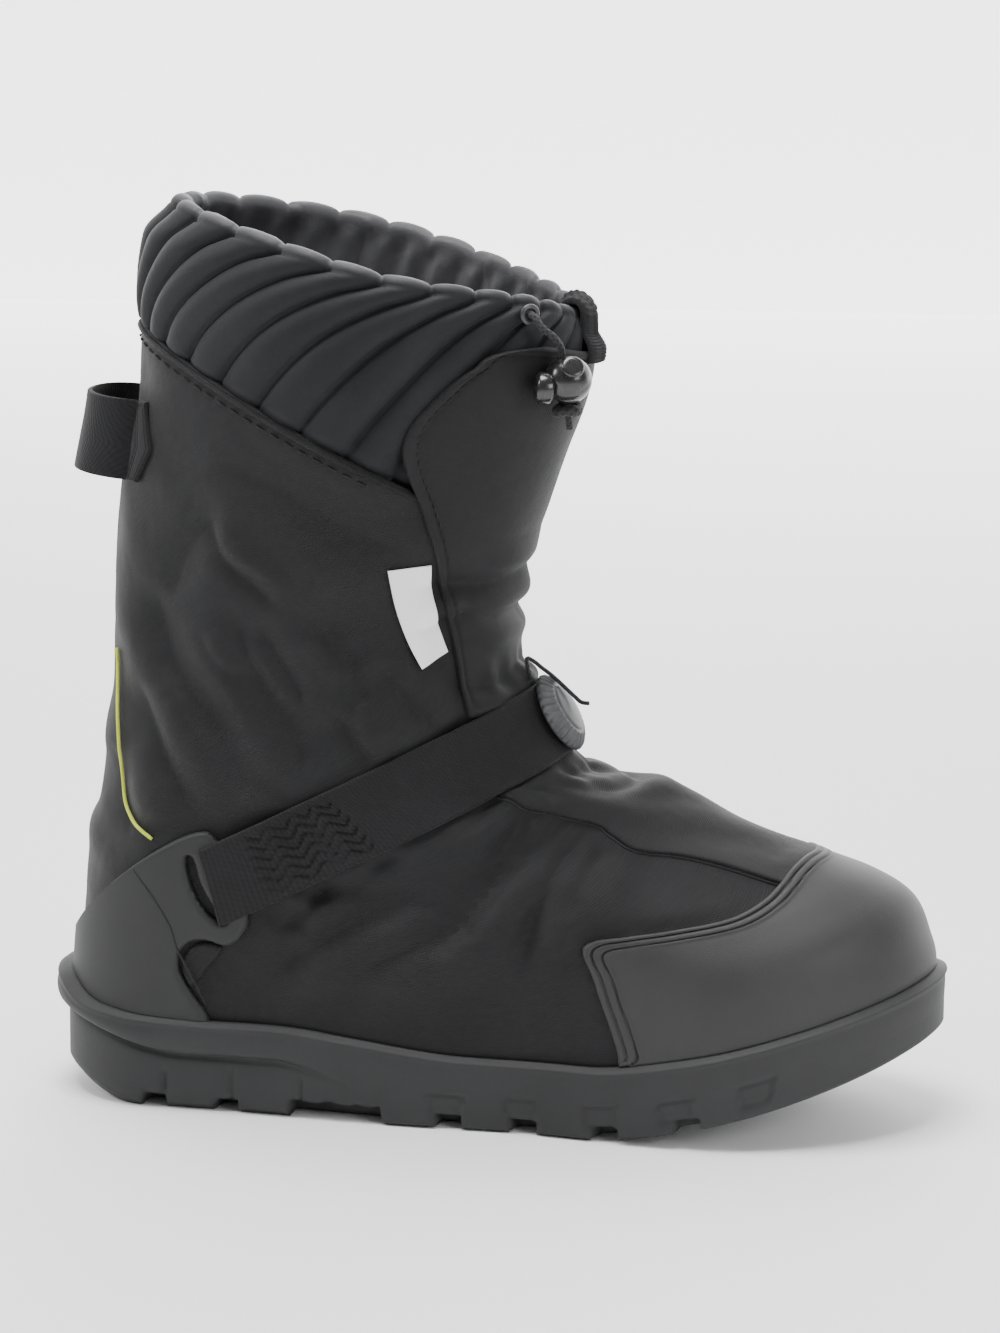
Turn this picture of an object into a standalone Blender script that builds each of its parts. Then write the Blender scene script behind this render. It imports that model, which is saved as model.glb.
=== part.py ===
"""Winter overshoe for the right foot: lugged rubber sole, hollow nylon upper, quilted collar.

Metres. +X points to the toe, +Z up and -Y to the outer side of the foot. The origin lies on the
ground under the middle of the heel.

The upper is one surface, upper_point(u, v). u goes once round the shoe: 0 at the back of the heel,
0.25 on the outer side, 0.5 at the front and 0.75 on the inner side. v rises from the sole's floor,
0, to the collar's rim, 1. Every piece that lies on the upper is a slab between two copies of that
surface, moved out by two lifts along its normals.
"""
import bpy
import bmesh
import numpy as np
from math import cos, pi, sin, radians
from mathutils import Matrix, Vector

# Driving sizes of the sole
SOLE_LENGTH = 0.345
HEEL_BACK = -0.049
BALL_WIDTH = 0.117
HEEL_WIDTH = 0.084
WAIST_WIDTH = 0.092
TOE_SWING = 0.008
WAIST_BOW = 0.003
TOE_SPRING = 0.036
SPRING_START = 0.168
SPRING_POWER = 1.4
SIDE_WALL = 0.036
FLOOR_HEIGHT = 0.014
LUG_DEPTH = 0.0042
ARCH_DEPTH = 0.006
LUG_GAP = 0.0088
LEDGE_REACH = 0.0042
LEDGE_FOOT = 0.022
LEDGE_RISE = 0.012
HEEL_LIFT = 0.0075
EDGE_INSET = 0.003
TREAD_CUT = 0.020
INSOLE_THICKNESS = 0.004
INSOLE_GAP = 0.0012
INSOLE_EDGE = 0.001

# Driving sizes of the upper
INSTEP_HEIGHT = 0.122
SHAFT_HEIGHT = 0.350
SHAFT_DEPTH = 0.168
FOOT_WIDTH = 0.106
SHAFT_WIDTH = 0.110
RIM_HUMP = 0.0055
UPPER_WALL = 0.002
COLLAR_PAD = 0.010
COLLAR_GROOVE = 0.0034
COLLAR_ROLLS = 28
COLLAR_LEAN = 0.10
COLLAR_TUCK = 0.0014
COLLAR_BACK_HEIGHT = 0.053
COLLAR_SEAM_SLOPE = -0.52

# Driving sizes of what lies on the upper
CAP_THICKNESS = 0.0018
COUNTER_THICKNESS = 0.0022
FLAP_THICKNESS = 0.0014
TRIM_THICKNESS = 0.0011
STRAP_WIDTH = 0.030
STRAP_THICKNESS = 0.0018
STRAP_HEIGHT = 0.0965
STRAP_FROM = 0.036
STRAP_SLOPE = 26.5
LABEL_THICKNESS = 0.0008
PIPING_RADIUS = 0.0009
LOOP_REACH = 0.0175
LOOP_THICKNESS = 0.0016
TAB_THICKNESS = 0.0022

# Driving sizes of the hard pieces and cords
BUCKLE_LENGTH = 0.031
BUCKLE_WIDTH = 0.026
BUCKLE_HEIGHT = 0.0085
BUCKLE_CORD_RADIUS = 0.0008
EYELET_RADIUS = 0.0029
EYELET_WIRE = 0.0009
CORD_RADIUS = 0.0013
LOCK_RADIUS = 0.0088
BUTTON_RADIUS = 0.0042
BUTTON_HEIGHT = 0.0022
KNOT_WIRE = 0.0020

# Columns of points round the sole and the upper, and rows of the upper
COLUMNS = 48
FOOT_ROWS = 8
SHAFT_ROWS = 10
FOOT_END = 0.30

# Clearance between neighbours: FIT where faces run parallel, SEAT where facets cross
FIT = 0.0003
SEAT = 0.0006

TOE_TIP = HEEL_BACK + SOLE_LENGTH

# Sections of the foot, a row for each, from the sole's floor up to the instep. back_x and front_x
# are shares of SOLE_LENGTH, the two heights of INSTEP_HEIGHT, heel, waist and ball are half widths
# in shares of FOOT_WIDTH, the two round columns are shares of the section's own length and swing
# is a share of TOE_SWING.
#  back_x  back_h  front_x  front_h  heel  waist  ball  back_round  front_round  swing
FOOT_SECTIONS = (
    (-.1226, .000, .8348, .000, .356, .390, .503, .115, .260, 1.0),
    (-.1246, .164, .8391, .100, .365, .404, .509, .120, .245, 1.0),
    (-.1197, .344, .8333, .180, .373, .406, .509, .125, .235, 1.0),
    (-.1156, .459, .8159, .310, .378, .409, .493, .130, .230, .98),
    (-.1130, .541, .7768, .424, .381, .409, .468, .140, .265, .94),
    (-.1090, .648, .7130, .560, .384, .404, .426, .155, .350, .85),
    (-.1029, .754, .6319, .726, .387, .392, .370, .180, .430, .62),
    (-.0957, .852, .5420, .886, .392, .398, .362, .215, .480, .38),
    (-.0890, .951, .4725, .938, .398, .406, .379, .270, .500, .12),
)

# Sections of the shaft, from the instep up to the rim. back_x and front_x are shares of
# SHAFT_DEPTH, the two heights of the rise from the instep to the rim, heel, waist and ball of
# SHAFT_WIDTH. The other columns are as above.
SHAFT_SECTIONS = (
    (-.1714, .037, .8690, .042, .392, .405, .384, .330, .510, .05),
    (-.1595, .131, .7946, .164, .405, .418, .400, .400, .510, .00),
    (-.1506, .271, .7815, .280, .418, .437, .418, .460, .500, .00),
    (-.1429, .393, .8214, .393, .429, .456, .429, .490, .490, .00),
    (-.1101, .542, .8869, .551, .445, .472, .445, .500, .490, .00),
    (-.0792, .701, .9405, .673, .461, .491, .461, .500, .490, .00),
    (-.0714, .832, .9524, .748, .472, .499, .472, .500, .490, .00),
    (-.0417, .986, .9524, .790, .475, .502, .475, .500, .490, .00),
)

# Height of the sole's side wall over the ground line, along the sole.
#  share of SOLE_LENGTH from the heel, share of SIDE_WALL
WALL_HEIGHTS = ((0, 1.36), (.03, 1.28), (.06, 1.13), (.10, 1.06), (.18, 1.0), (.30, .98), (.37, .90),
                (.47, .79), (.60, .78), (.75, .79), (.90, .745), (1, .67))


def smoothstep(x, low, high):
    s = np.clip((x - low) / (high - low), 0, 1)
    return s * s * (3 - 2 * s)


def curve_through(knots, rows, at):
    """Smooth curve through rows of values at the knots, read at the given places."""
    knots, rows, at = (np.asarray(a, float) for a in (knots, rows, at))
    slopes = np.gradient(rows, knots, axis=0)
    i = np.clip(np.searchsorted(knots, at, side="right") - 1, 0, len(knots) - 2)
    span = knots[i + 1] - knots[i]
    s = (at - knots[i]) / span
    if rows.ndim == 2:
        s, span = s[..., None], span[..., None]
    start, end, leave, arrive = rows[i], rows[i + 1], slopes[i] * span, slopes[i + 1] * span
    return (start * (2 * s**3 - 3 * s**2 + 1) + leave * (s**3 - 2 * s**2 + s)
            + end * (3 * s**2 - 2 * s**3) + arrive * (s**3 - s**2))


def ground(x):
    """Height of the sole's underside: flat, then rising to the toe."""
    reach = np.clip((np.asarray(x) - SPRING_START) / (TOE_TIP - SPRING_START), 0, None)
    return TOE_SPRING * reach**SPRING_POWER


def sections():
    """Both tables as one array in metres, and each section's v by its distance along the shoe."""
    rise = SHAFT_HEIGHT - FLOOR_HEIGHT - INSTEP_HEIGHT
    rows = []
    for table, length, base, height, width in (
            (FOOT_SECTIONS, SOLE_LENGTH, 0, INSTEP_HEIGHT, FOOT_WIDTH),
            (SHAFT_SECTIONS, SHAFT_DEPTH, INSTEP_HEIGHT, rise, SHAFT_WIDTH)):
        for back_x, back_h, front_x, front_h, heel, waist, ball, back_round, front_round, swing in table:
            rows.append((back_x * length, base + back_h * height, front_x * length, base + front_h * height,
                         heel * width, waist * width, ball * width,
                         back_round, front_round, swing * TOE_SWING))
    rows = np.array(rows)
    steps = np.diff(rows[:, :4], axis=0)
    walked = (np.hypot(steps[:, 0], steps[:, 1]) + np.hypot(steps[:, 2], steps[:, 3])) / 2
    knots = np.concatenate([[0], np.cumsum(walked)])
    return rows, knots / knots[-1]


SECTIONS, KNOTS = sections()


def outline(u, back_x, front_x, heel, waist, ball, back_round, front_round, swing, bow):
    """A section seen from above: two sides of given half width with elliptic ends."""
    turn = 2 * pi * u
    t = (1 - np.cos(turn)) / 2
    half = heel + (waist - heel) * smoothstep(t, .15, .5) + (ball - waist) * smoothstep(t, .5, .78)
    near_back = np.clip(1 - t / back_round, 0, 1)
    near_front = np.clip(1 - (1 - t) / front_round, 0, 1)
    half = half * np.sqrt(1 - near_back**2) * np.sqrt(1 - near_front**2)
    centre = swing * t**3 - bow * np.sin(pi * t)
    return back_x + (front_x - back_x) * t, centre - np.sign(np.sin(turn)) * half, t


def upper_point(u, v):
    """The upper's outer surface. Its rim stands a little higher at the front and the inner side."""
    u, v = np.broadcast_arrays(np.asarray(u, float), np.asarray(v, float))
    turn = 2 * pi * u
    row = np.moveaxis(curve_through(KNOTS, SECTIONS, v), -1, 0)
    back_x, back_h, front_x, front_h, heel, waist, ball, back_round, front_round, swing = row
    foot = 1 - smoothstep(v, KNOTS[5], KNOTS[10])
    x, y, t = outline(u, back_x, front_x, heel, waist, ball, back_round, front_round, swing,
                      WAIST_BOW * foot)
    blend = t + (smoothstep(t, 0, 1) - t) * foot
    inner_hump, outer_hump = np.sin(pi * t), t**6 * (1 - t) * 7 * (7 / 6)**6
    hump = RIM_HUMP * smoothstep(v, .80, 1) * np.where(np.sin(turn) < 0, inner_hump, outer_hump)
    z = FLOOR_HEIGHT + ground(x) + back_h + (front_h - back_h) * blend + hump
    return np.stack([x, y, z], -1)


def upper_normal(u, v):
    step = 1e-4
    along = upper_point(u + step, v) - upper_point(u - step, v)
    up = upper_point(u, np.minimum(v + step, 1)) - upper_point(u, np.maximum(v - step, 0))
    normal = np.cross(along, up)
    return normal / np.linalg.norm(normal, axis=-1, keepdims=True)


def lifted(u, v, lift):
    """The upper's surface moved out by lift along its normals."""
    u, v, lift = np.broadcast_arrays(np.asarray(u, float), np.asarray(v, float), np.asarray(lift, float))
    return upper_point(u, v) + upper_normal(u, v) * lift[..., None]


def v_where(u, level):
    """The v at which level(point) grows through zero, for each u."""
    tries = np.linspace(0, 1, 801)
    flat = np.ravel(u)
    values = level(upper_point(flat[:, None], tries[None, :]))
    first = np.argmax(values >= 0, axis=1)
    first = np.where((values >= 0).any(axis=1), first, len(tries) - 1)
    before = np.maximum(first - 1, 0)
    rows = np.arange(len(flat))
    low, high = values[rows, before], values[rows, first]
    share = np.where(high != low, -low / np.where(high != low, high - low, 1), 0)
    return (tries[before] + (tries[first] - tries[before]) * np.clip(share, 0, 1)).reshape(np.shape(u))


def wall_height(x):
    table = np.array(WALL_HEIGHTS)
    return SIDE_WALL * curve_through(table[:, 0], table[:, 1], np.clip((x - HEEL_BACK) / SOLE_LENGTH, 0, 1))


def lip_top(x):
    """Height of the top of the sole's lip."""
    return ground(x) + wall_height(x)


def lip_v(u, above=0.0):
    """The v at which the upper comes out of the sole's lip."""
    return v_where(u, lambda p: p[..., 2] - lip_top(p[..., 0]) - above)


# Meshes and materials

def remove_everything():
    for obj in list(bpy.data.objects):
        bpy.data.objects.remove(obj, do_unlink=True)


def collection(name):
    group = bpy.data.collections.new(name)
    bpy.context.scene.collection.children.link(group)
    return group


def material(name, colour, roughness, metallic=0.0):
    mat = bpy.data.materials.new(name)
    mat.use_nodes = True
    shader = mat.node_tree.nodes["Principled BSDF"]
    shader.inputs["Base Color"].default_value = (*colour, 1)
    shader.inputs["Roughness"].default_value = roughness
    shader.inputs["Metallic"].default_value = metallic
    return mat


def add_mesh(group, name, points, faces, mat, smooth=True):
    mesh = bpy.data.meshes.new(name)
    mesh.from_pydata([tuple(p) for p in np.asarray(points).reshape(-1, 3)], [], faces)
    mesh.update()
    if smooth:
        mesh.shade_smooth()
        mesh.set_sharp_from_angle(angle=radians(40))
    mesh.materials.append(mat)
    obj = bpy.data.objects.new(name, mesh)
    group.objects.link(obj)
    return obj


def grid_faces(rows, columns, ring):
    """Faces of a grid of points, each row one behind the other, wrapping round if it is a ring."""
    faces = []
    for j in range(rows - 1):
        for i in range(columns if ring else columns - 1):
            k = (i + 1) % columns
            faces.append((j * columns + i, j * columns + k, (j + 1) * columns + k, (j + 1) * columns + i))
    return faces


def slab(group, name, outer, inner, mat, ring=False):
    """A closed solid between an outer and an inner grid of points of the same shape."""
    rows, columns = outer.shape[:2]
    size = rows * columns
    faces = grid_faces(rows, columns, ring)
    faces += [tuple(size + k for k in reversed(face)) for face in grid_faces(rows, columns, ring)]
    top = (rows - 1) * columns
    for i in range(columns if ring else columns - 1):
        k = (i + 1) % columns
        faces.append((k, i, size + i, size + k))
        faces.append((top + i, top + k, size + top + k, size + top + i))
    if not ring:
        last = columns - 1
        for j in range(rows - 1):
            a, b = j * columns, (j + 1) * columns
            faces.append((a, b, size + b, size + a))
            faces.append((b + last, a + last, size + a + last, size + b + last))
    return add_mesh(group, name, np.concatenate([outer.reshape(-1, 3), inner.reshape(-1, 3)]), faces, mat)


def slab_on_upper(group, name, u, v, low, high, mat, ring=False):
    """A slab of given lifts over a grid of (u, v)."""
    return slab(group, name, lifted(u, v, high), lifted(u, v, low), mat, ring)


def ladder(count, start):
    """Faces that close a ring of count points, even in number, by rungs from side to side."""
    faces = [(start, start + 1, start + count - 1)]
    for i in range(1, count // 2 - 1):
        faces.append((start + i, start + i + 1, start + count - i - 1, start + count - i))
    half = count // 2
    faces.append((start + half - 1, start + half, start + half + 1))
    return faces


def ring_solid(group, name, rings, mat):
    """A closed solid through rings of points, closed by ladders at the first and the last ring."""
    count = len(rings[0])
    faces = [tuple(reversed(face)) for face in ladder(count, 0)]
    faces += grid_faces(len(rings), count, True)
    faces += ladder(count, (len(rings) - 1) * count)
    return add_mesh(group, name, np.concatenate(rings), faces, mat)


def cut(target, cutter, operation="DIFFERENCE"):
    """Applies an exact Boolean to the target's mesh and removes the cutter."""
    modifier = target.modifiers.new("cut", "BOOLEAN")
    modifier.operation = operation
    modifier.solver = "EXACT"
    modifier.object = cutter
    result = bpy.data.meshes.new_from_object(target.evaluated_get(bpy.context.evaluated_depsgraph_get()))
    target.modifiers.remove(modifier)
    target.data = result
    bpy.data.objects.remove(cutter, do_unlink=True)


def join_shapes(group, name, shapes):
    """One mesh object out of several closed shapes given as (points, faces)."""
    points, faces = [], []
    for shape_points, shape_faces in shapes:
        start = len(points)
        points += [tuple(p) for p in shape_points]
        faces += [tuple(start + k for k in face) for face in shape_faces]
    mesh = bpy.data.meshes.new(name)
    mesh.from_pydata(points, [], faces)
    obj = bpy.data.objects.new(name, mesh)
    obj.hide_render = True
    obj.display_type = "WIRE"
    group.objects.link(obj)
    return obj


def block(centre, size, turn=0.0, taper=1.0):
    """A box turned about Z, its top narrower along X by taper."""
    points = []
    for sz in (-.5, .5):
        wide = taper if sz > 0 else 1
        for sx, sy in ((-.5, -.5), (.5, -.5), (.5, .5), (-.5, .5)):
            x, y = sx * size[0] * wide, sy * size[1]
            points.append((centre[0] + x * cos(turn) - y * sin(turn),
                           centre[1] + x * sin(turn) + y * cos(turn), centre[2] + sz * size[2]))
    faces = [(3, 2, 1, 0), (4, 5, 6, 7), (0, 1, 5, 4), (1, 2, 6, 5), (2, 3, 7, 6), (3, 0, 4, 7)]
    return points, faces


# Sole and insole

# Shares of the sole's length that round its heel and its toe
SOLE_ROUNDS = (.125, .25)


def sole_edge(u):
    return outline(u, HEEL_BACK, TOE_TIP, HEEL_WIDTH / 2, WAIST_WIDTH / 2, BALL_WIDTH / 2,
                   *SOLE_ROUNDS, TOE_SWING, WAIST_BOW)[:2]


def sole_plan(u, outset=0.0):
    """The sole's outer edge from above, moved out by outset."""
    step = 1e-4
    x, y = sole_edge(u)
    xa, ya = sole_edge(u - step)
    xb, yb = sole_edge(u + step)
    length = np.hypot(xb - xa, yb - ya)
    return x + (yb - ya) / length * outset, y - (xb - xa) / length * outset


# Rings of the sole's side, from the ground up. outset is a share of LEDGE_REACH at the heel, fading
# to the second share along the waist. The height is a share of LEDGE_FOOT up to the ledge's foot, then
# a share of the rest up to the lip's top. inset is the bottom edge's, a share of EDGE_INSET, and lift
# says whether the heel's back end rises by HEEL_LIFT.
#  outset heel, outset forefoot, share below the ledge, share above it, inset, lift
SIDE_RINGS = (
    (-.45, 0, 0, 0, 1, 1),
    (-.40, 0, .14, 0, 0, 1),
    (-.45, 0, .88, 0, 0, 0),
    (-.60, 0, 1.0, 0, 0, 0),
    (.40, .02, 1.0, .14, 0, 0),
    (.64, .06, 1.0, .50, 0, 0),
    (.34, .02, 1.0, .90, 0, 0),
    (.08, -.20, 1.0, 1.0, 0, 0),
)
# Where the ledge fades out, where its foot drops and by what share, and where its rise at the back of
# the heel and the lift of the heel's lower edge end, in shares of SOLE_LENGTH from the origin
LEDGE_FADE = (.029, .2464)
FOOT_FADE = (.1304, .2754)
FOOT_DROP = .55
LEDGE_RISE_END = .029
HEEL_LIFT_END = -.0348


def make_outsole(group, cutters, mat):
    u = np.arange(COLUMNS) / COLUMNS
    inner_top = lifted(u, lip_v(u), FIT)
    inner_top[:, 2] = lip_top(inner_top[:, 0])
    rings = []
    x, _ = sole_edge(u)
    place = x / SOLE_LENGTH
    heel = 1 - smoothstep(place, *LEDGE_FADE)
    foot = (LEDGE_FOOT * (1 - FOOT_DROP * smoothstep(place, *FOOT_FADE))
            + LEDGE_RISE * (1 - smoothstep(place, HEEL_BACK / SOLE_LENGTH, LEDGE_RISE_END)))
    heel_lift = HEEL_LIFT * (1 - smoothstep(place, HEEL_BACK / SOLE_LENGTH, HEEL_LIFT_END))
    for heel_out, fore_out, below, above, inset, lift in SIDE_RINGS:
        out = LEDGE_REACH * (heel_out * heel + fore_out * (1 - heel)) - EDGE_INSET * inset
        px, py = sole_plan(u, out)
        rise = foot * below + (inner_top[:, 2] - ground(x) - foot) * above
        rings.append(np.stack([px, py, ground(x) + rise + heel_lift * lift], -1))
    inner_floor = lifted(u, np.zeros_like(u), FIT)
    inner_floor[:, 2] = FLOOR_HEIGHT + ground(inner_floor[:, 0]) - FIT
    rings += [inner_top, lifted(u, lip_v(u) / 2, FIT), inner_floor]
    sole = ring_solid(group, "outsole", rings, mat)
    cut(sole, join_shapes(cutters, "tread_cutter", tread_shapes()))
    return sole


# Grooves across the sole, by the place of their middle along the ground from the origin in shares
# of SOLE_LENGTH, and their turn in degrees
HEEL_GROOVES = ((-.0175, 4), (.083, -4))
FORE_GROOVES = ((.314, 6), (.404, 4), (.505, 0), (.611, -5))
ARCH_SPAN = (.150, .2536)


def tread_shapes():
    """Boxes that cut the grooves and the arch gap."""
    wide = 1.4 * BALL_WIDTH
    shapes = []
    for share, turn in HEEL_GROOVES + FORE_GROOVES:
        x = share * SOLE_LENGTH
        top = float(ground(x)) + LUG_DEPTH
        shapes.append(block((x, 0, top - TREAD_CUT / 2), (LUG_GAP, wide, TREAD_CUT), radians(turn)))
    start, end = (share * SOLE_LENGTH for share in ARCH_SPAN)
    middle = ((start + end) / 2, 0, ARCH_DEPTH - TREAD_CUT / 2)
    shapes.append(block(middle, (end - start, wide, TREAD_CUT), 0, .94))
    return shapes


# Rings of the insole: share of its thickness, share of INSOLE_EDGE that it steps in by
INSOLE_RINGS = ((0, 1), (.25, 0), (.8, 0), (1, 1))


def make_insole(group, mat):
    u = np.arange(COLUMNS) / COLUMNS
    rings = []
    for height, inset in INSOLE_RINGS:
        rise = height * INSOLE_THICKNESS
        v = v_where(u, lambda p: p[..., 2] - FLOOR_HEIGHT - ground(p[..., 0]) - rise)
        ring = lifted(u, v, -UPPER_WALL - INSOLE_GAP - INSOLE_EDGE * inset)
        ring[:, 2] = FLOOR_HEIGHT + ground(ring[:, 0]) + rise
        rings.append(ring)
    return ring_solid(group, "insole", rings, mat)


# Upper and collar

def collar_line(point):
    """Grows through zero where a point crosses the collar's lower seam."""
    back_z = SHAFT_HEIGHT - COLLAR_BACK_HEIGHT
    return point[..., 2] - (back_z + COLLAR_SEAM_SLOPE * (point[..., 0] - SECTIONS[-1, 0]))


def make_upper(group, mat):
    """The hollow vamp and shaft: rows inside the sole's lip, then closer rows over the foot."""
    u = np.arange(COLUMNS) / COLUMNS
    lip, top = lip_v(u), v_where(u, collar_line)
    foot = lip + (FOOT_END - lip) * np.linspace(0, 1, FOOT_ROWS)[:-1, None]
    shaft = FOOT_END + (top - FOOT_END) * np.linspace(0, 1, SHAFT_ROWS)[:, None]
    v = np.concatenate([[0 * lip, lip / 2], foot, shaft])
    u = np.broadcast_to(u, v.shape)
    return slab_on_upper(group, "upper", u, v, -UPPER_WALL, 0, mat, ring=True)


# Rows of the collar from its seam to its rim, as shares of its height, with the outer face's drop
# and the inner face's depth as shares of COLLAR_PAD, and the share of the rolls' grooves that shows
#  height, drop, depth, groove
COLLAR_ROWS = (
    (0, .14, .30, .3),
    (.10, .04, .72, .8),
    (.86, .05, 1.0, 1.),
    (.96, .14, .92, .9),
    (1.0, .32, .72, .7),
)
ROLL_COLUMNS = 2


def make_collar(group, mat):
    """The padded band, in rolls that lean forward towards the rim."""
    columns = COLLAR_ROLLS * ROLL_COLUMNS
    share = np.arange(columns) / columns
    height, drop, depth, groove = (np.array(column)[:, None] for column in zip(*COLLAR_ROWS))
    u = share + COLLAR_LEAN * np.sin(2 * pi * share) * (height - .5)
    seam = v_where(u[0], lambda p: collar_line(p) - 2 * FIT)
    v = seam + (1 - seam) * height
    in_groove = (np.arange(columns) % ROLL_COLUMNS == 0)[None, :]
    under_flap = smoothstep(np.abs(u - .5), .21, .17)
    high = -drop * COLLAR_PAD - COLLAR_GROOVE * groove * in_groove - COLLAR_TUCK * under_flap
    low = -depth * COLLAR_PAD
    return slab_on_upper(group, "collar", u, v, np.broadcast_to(low, u.shape), high, mat, ring=True)


# Overlays cut between two larger forms

def smooth_loop(corners, steps):
    """A closed smooth curve through the corners."""
    corners = np.asarray(corners, float)
    count = len(corners)
    wrapped = np.concatenate([corners[-2:], corners, corners[:3]])
    knots = np.arange(-2, count + 3)
    return curve_through(knots, wrapped, np.arange(count * steps) / steps)


def side_prism(group, name, outline_xz):
    """A cutter: an outline seen from the side, run through the whole shoe."""
    count = len(outline_xz)
    points = [(x, y, z) for y in (-FOOT_WIDTH, FOOT_WIDTH) for x, z in outline_xz]
    faces = [tuple(range(count)), tuple(reversed(range(count, 2 * count)))]
    faces += [(k, count + k, count + (k + 1) % count, (k + 1) % count) for k in range(count)]
    shape = join_shapes(group, name, [(points, faces)])
    mesh = bmesh.new()
    mesh.from_mesh(shape.data)
    bmesh.ops.recalc_face_normals(mesh, faces=mesh.faces)
    mesh.to_mesh(shape.data)
    mesh.free()
    return shape


# The counter's outline from the side, in shares of SOLE_LENGTH from the origin and from the ground.
# It runs along the top edge, round the wing's tip, the notch under it and down to the lip.
COUNTER_OUTLINE = (
    (-.165, .160), (-.128, .178), (-.093, .218), (-.046, .263), (.008, .302), (.046, .320), (.067, .316),
    (.088, .276), (.104, .232), (.099, .208), (.080, .193), (.052, .199), (.030, .189), (.023, .166),
    (.033, .142), (.056, .106), (.060, .060), (-.060, .030), (-.165, .040),
)
TOP_CORNERS = 7
COUNTER_REACH, COUNTER_V = .19, .36
# The slot that the strap goes through, and the trim that shows in the notch
SLOT_OUTLINE = ((.035, .292), (.044, .290), (.052, .262), (.066, .238), (.080, .222), (.068, .221),
                (.050, .238), (.038, .266))
TRIM_OUTLINE = ((.0725, .1895), (.052, .1945), (.035, .187), (.0275, .166), (.0365, .143), (.0565, .166))


TRIM_U, TRIM_V = (.118, .158), (.055, .155)


def scaled(outline_shares):
    return np.array(outline_shares) * SOLE_LENGTH


def counter_top(x):
    """Height of the counter's top edge, seen from the side."""
    edge_x, edge_z = scaled(COUNTER_OUTLINE[:TOP_CORNERS]).T
    return curve_through(edge_x, edge_z, np.clip(x, edge_x[0], edge_x[-1]))


def make_heel_counter(group, cutters, mat):
    """Wraps the heel; its wings carry the strap's slots. The lip's line is its lower edge."""
    u = np.linspace(-COUNTER_REACH, COUNTER_REACH, 21)
    bottom = lip_v(u, SEAT)
    v = bottom + (COUNTER_V - bottom) * np.linspace(0, 1, 8)[:, None]
    u = np.broadcast_to(u, v.shape)
    counter = slab_on_upper(group, "heel_counter", u, v, SEAT, SEAT + COUNTER_THICKNESS, mat)
    cut(counter, side_prism(cutters, "counter_outline", smooth_loop(scaled(COUNTER_OUTLINE), 3)), "INTERSECT")
    cut(counter, side_prism(cutters, "slot_outline", smooth_loop(scaled(SLOT_OUTLINE), 2)))
    return counter


def make_rear_trim(group, cutters, mat, name, side):
    """The nylon patch that shows in the counter's notch."""
    u, v = np.meshgrid(np.linspace(*TRIM_U, 6)[::side], np.linspace(*TRIM_V, 6))
    trim = slab_on_upper(group, name, side * u % 1, v, SEAT, SEAT + TRIM_THICKNESS, mat)
    cut(trim, side_prism(cutters, "trim_outline", smooth_loop(scaled(TRIM_OUTLINE), 3)), "INTERSECT")
    return trim


# Upper edge of the toe cap: u and v, from its rear corner to the front on the outer side
CAP_EDGE = ((.3035, .165), (.306, .184), (.3145, .201), (.350, .205), (.384, .203), (.404, .2105),
            (.424, .222), (.462, .238), (.500, .236))


def make_toe_cap(group, mat):
    us, vs = (np.array(column) for column in zip(*CAP_EDGE))
    u = np.concatenate([us, (us[:-1] + us[1:]) / 2])
    u = np.unique(np.round(np.concatenate([u, 1 - u]), 6))
    top = curve_through(us, vs, np.minimum(u, 1 - u))
    bottom = lip_v(u, SEAT)
    v = bottom + (top - bottom) * np.linspace(0, 1, 8)[:, None]
    u = np.broadcast_to(u, v.shape)
    return slab_on_upper(group, "toe_cap", u, v, SEAT, SEAT + CAP_THICKNESS, mat)


# Edge of the front flap on the outer side, from under the strap up to its top: v and u
FLAP_EDGE = ((.505, .382), (.568, .388), (.682, .360), (.746, .333), (.780, .317), (.806, .309),
             (.836, .310), (.861, .322), (.893, .347), (.914, .378), (.921, .412))
# Its rows of points stand closer above this v, where the edge turns
FLAP_TURN = .78


def flap_edge(v):
    vs, us = zip(*FLAP_EDGE)
    return curve_through(vs, us, v)


def make_front_flap(group, mat):
    v = np.concatenate([np.linspace(FLAP_EDGE[0][0], FLAP_TURN, 8)[:-1],
                        np.linspace(FLAP_TURN, FLAP_EDGE[-1][0], 7)])
    edge = flap_edge(v)
    u = edge[:, None] + (1 - 2 * edge)[:, None] * np.linspace(0, 1, 13)
    v = np.broadcast_to(v[:, None], u.shape)
    return slab_on_upper(group, "front_flap", u, v, SEAT, SEAT + FLAP_THICKNESS, mat)


def strap_level(point):
    """Distance above the strap's middle line, seen from the side."""
    line = STRAP_HEIGHT + np.tan(radians(STRAP_SLOPE)) * (point[..., 0] - STRAP_FROM)
    return (point[..., 2] - line) * cos(radians(STRAP_SLOPE))


# The strap's ends in u, and where it comes down off the wing's bar and climbs onto the flap
STRAP_START = .150
BAR_END = (.190, .225)
FLAP_CLIMB = (.325, .365)


def strap_low(u):
    """Lift of the strap's inner face: over the wing's bar, then down, then over the flap's end."""
    side = np.minimum(u, 1 - u)
    over_bar = SEAT + COUNTER_THICKNESS + FIT
    over_flap = SEAT + FLAP_THICKNESS + SEAT
    low = over_bar + (SEAT - over_bar) * smoothstep(side, *BAR_END)
    return low + (over_flap - SEAT) * smoothstep(side, *FLAP_CLIMB)


def make_instep_strap(group, mat):
    u = np.linspace(STRAP_START, 1 - STRAP_START, 37)
    across = (np.linspace(0, 1, 3) - .5) * STRAP_WIDTH
    v = np.stack([v_where(u, lambda p, w=w: strap_level(p) - w) for w in across])
    u = np.broadcast_to(u, v.shape)
    low = strap_low(u)
    return slab_on_upper(group, "instep_strap", u, v, low, low + STRAP_THICKNESS, mat)


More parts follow.
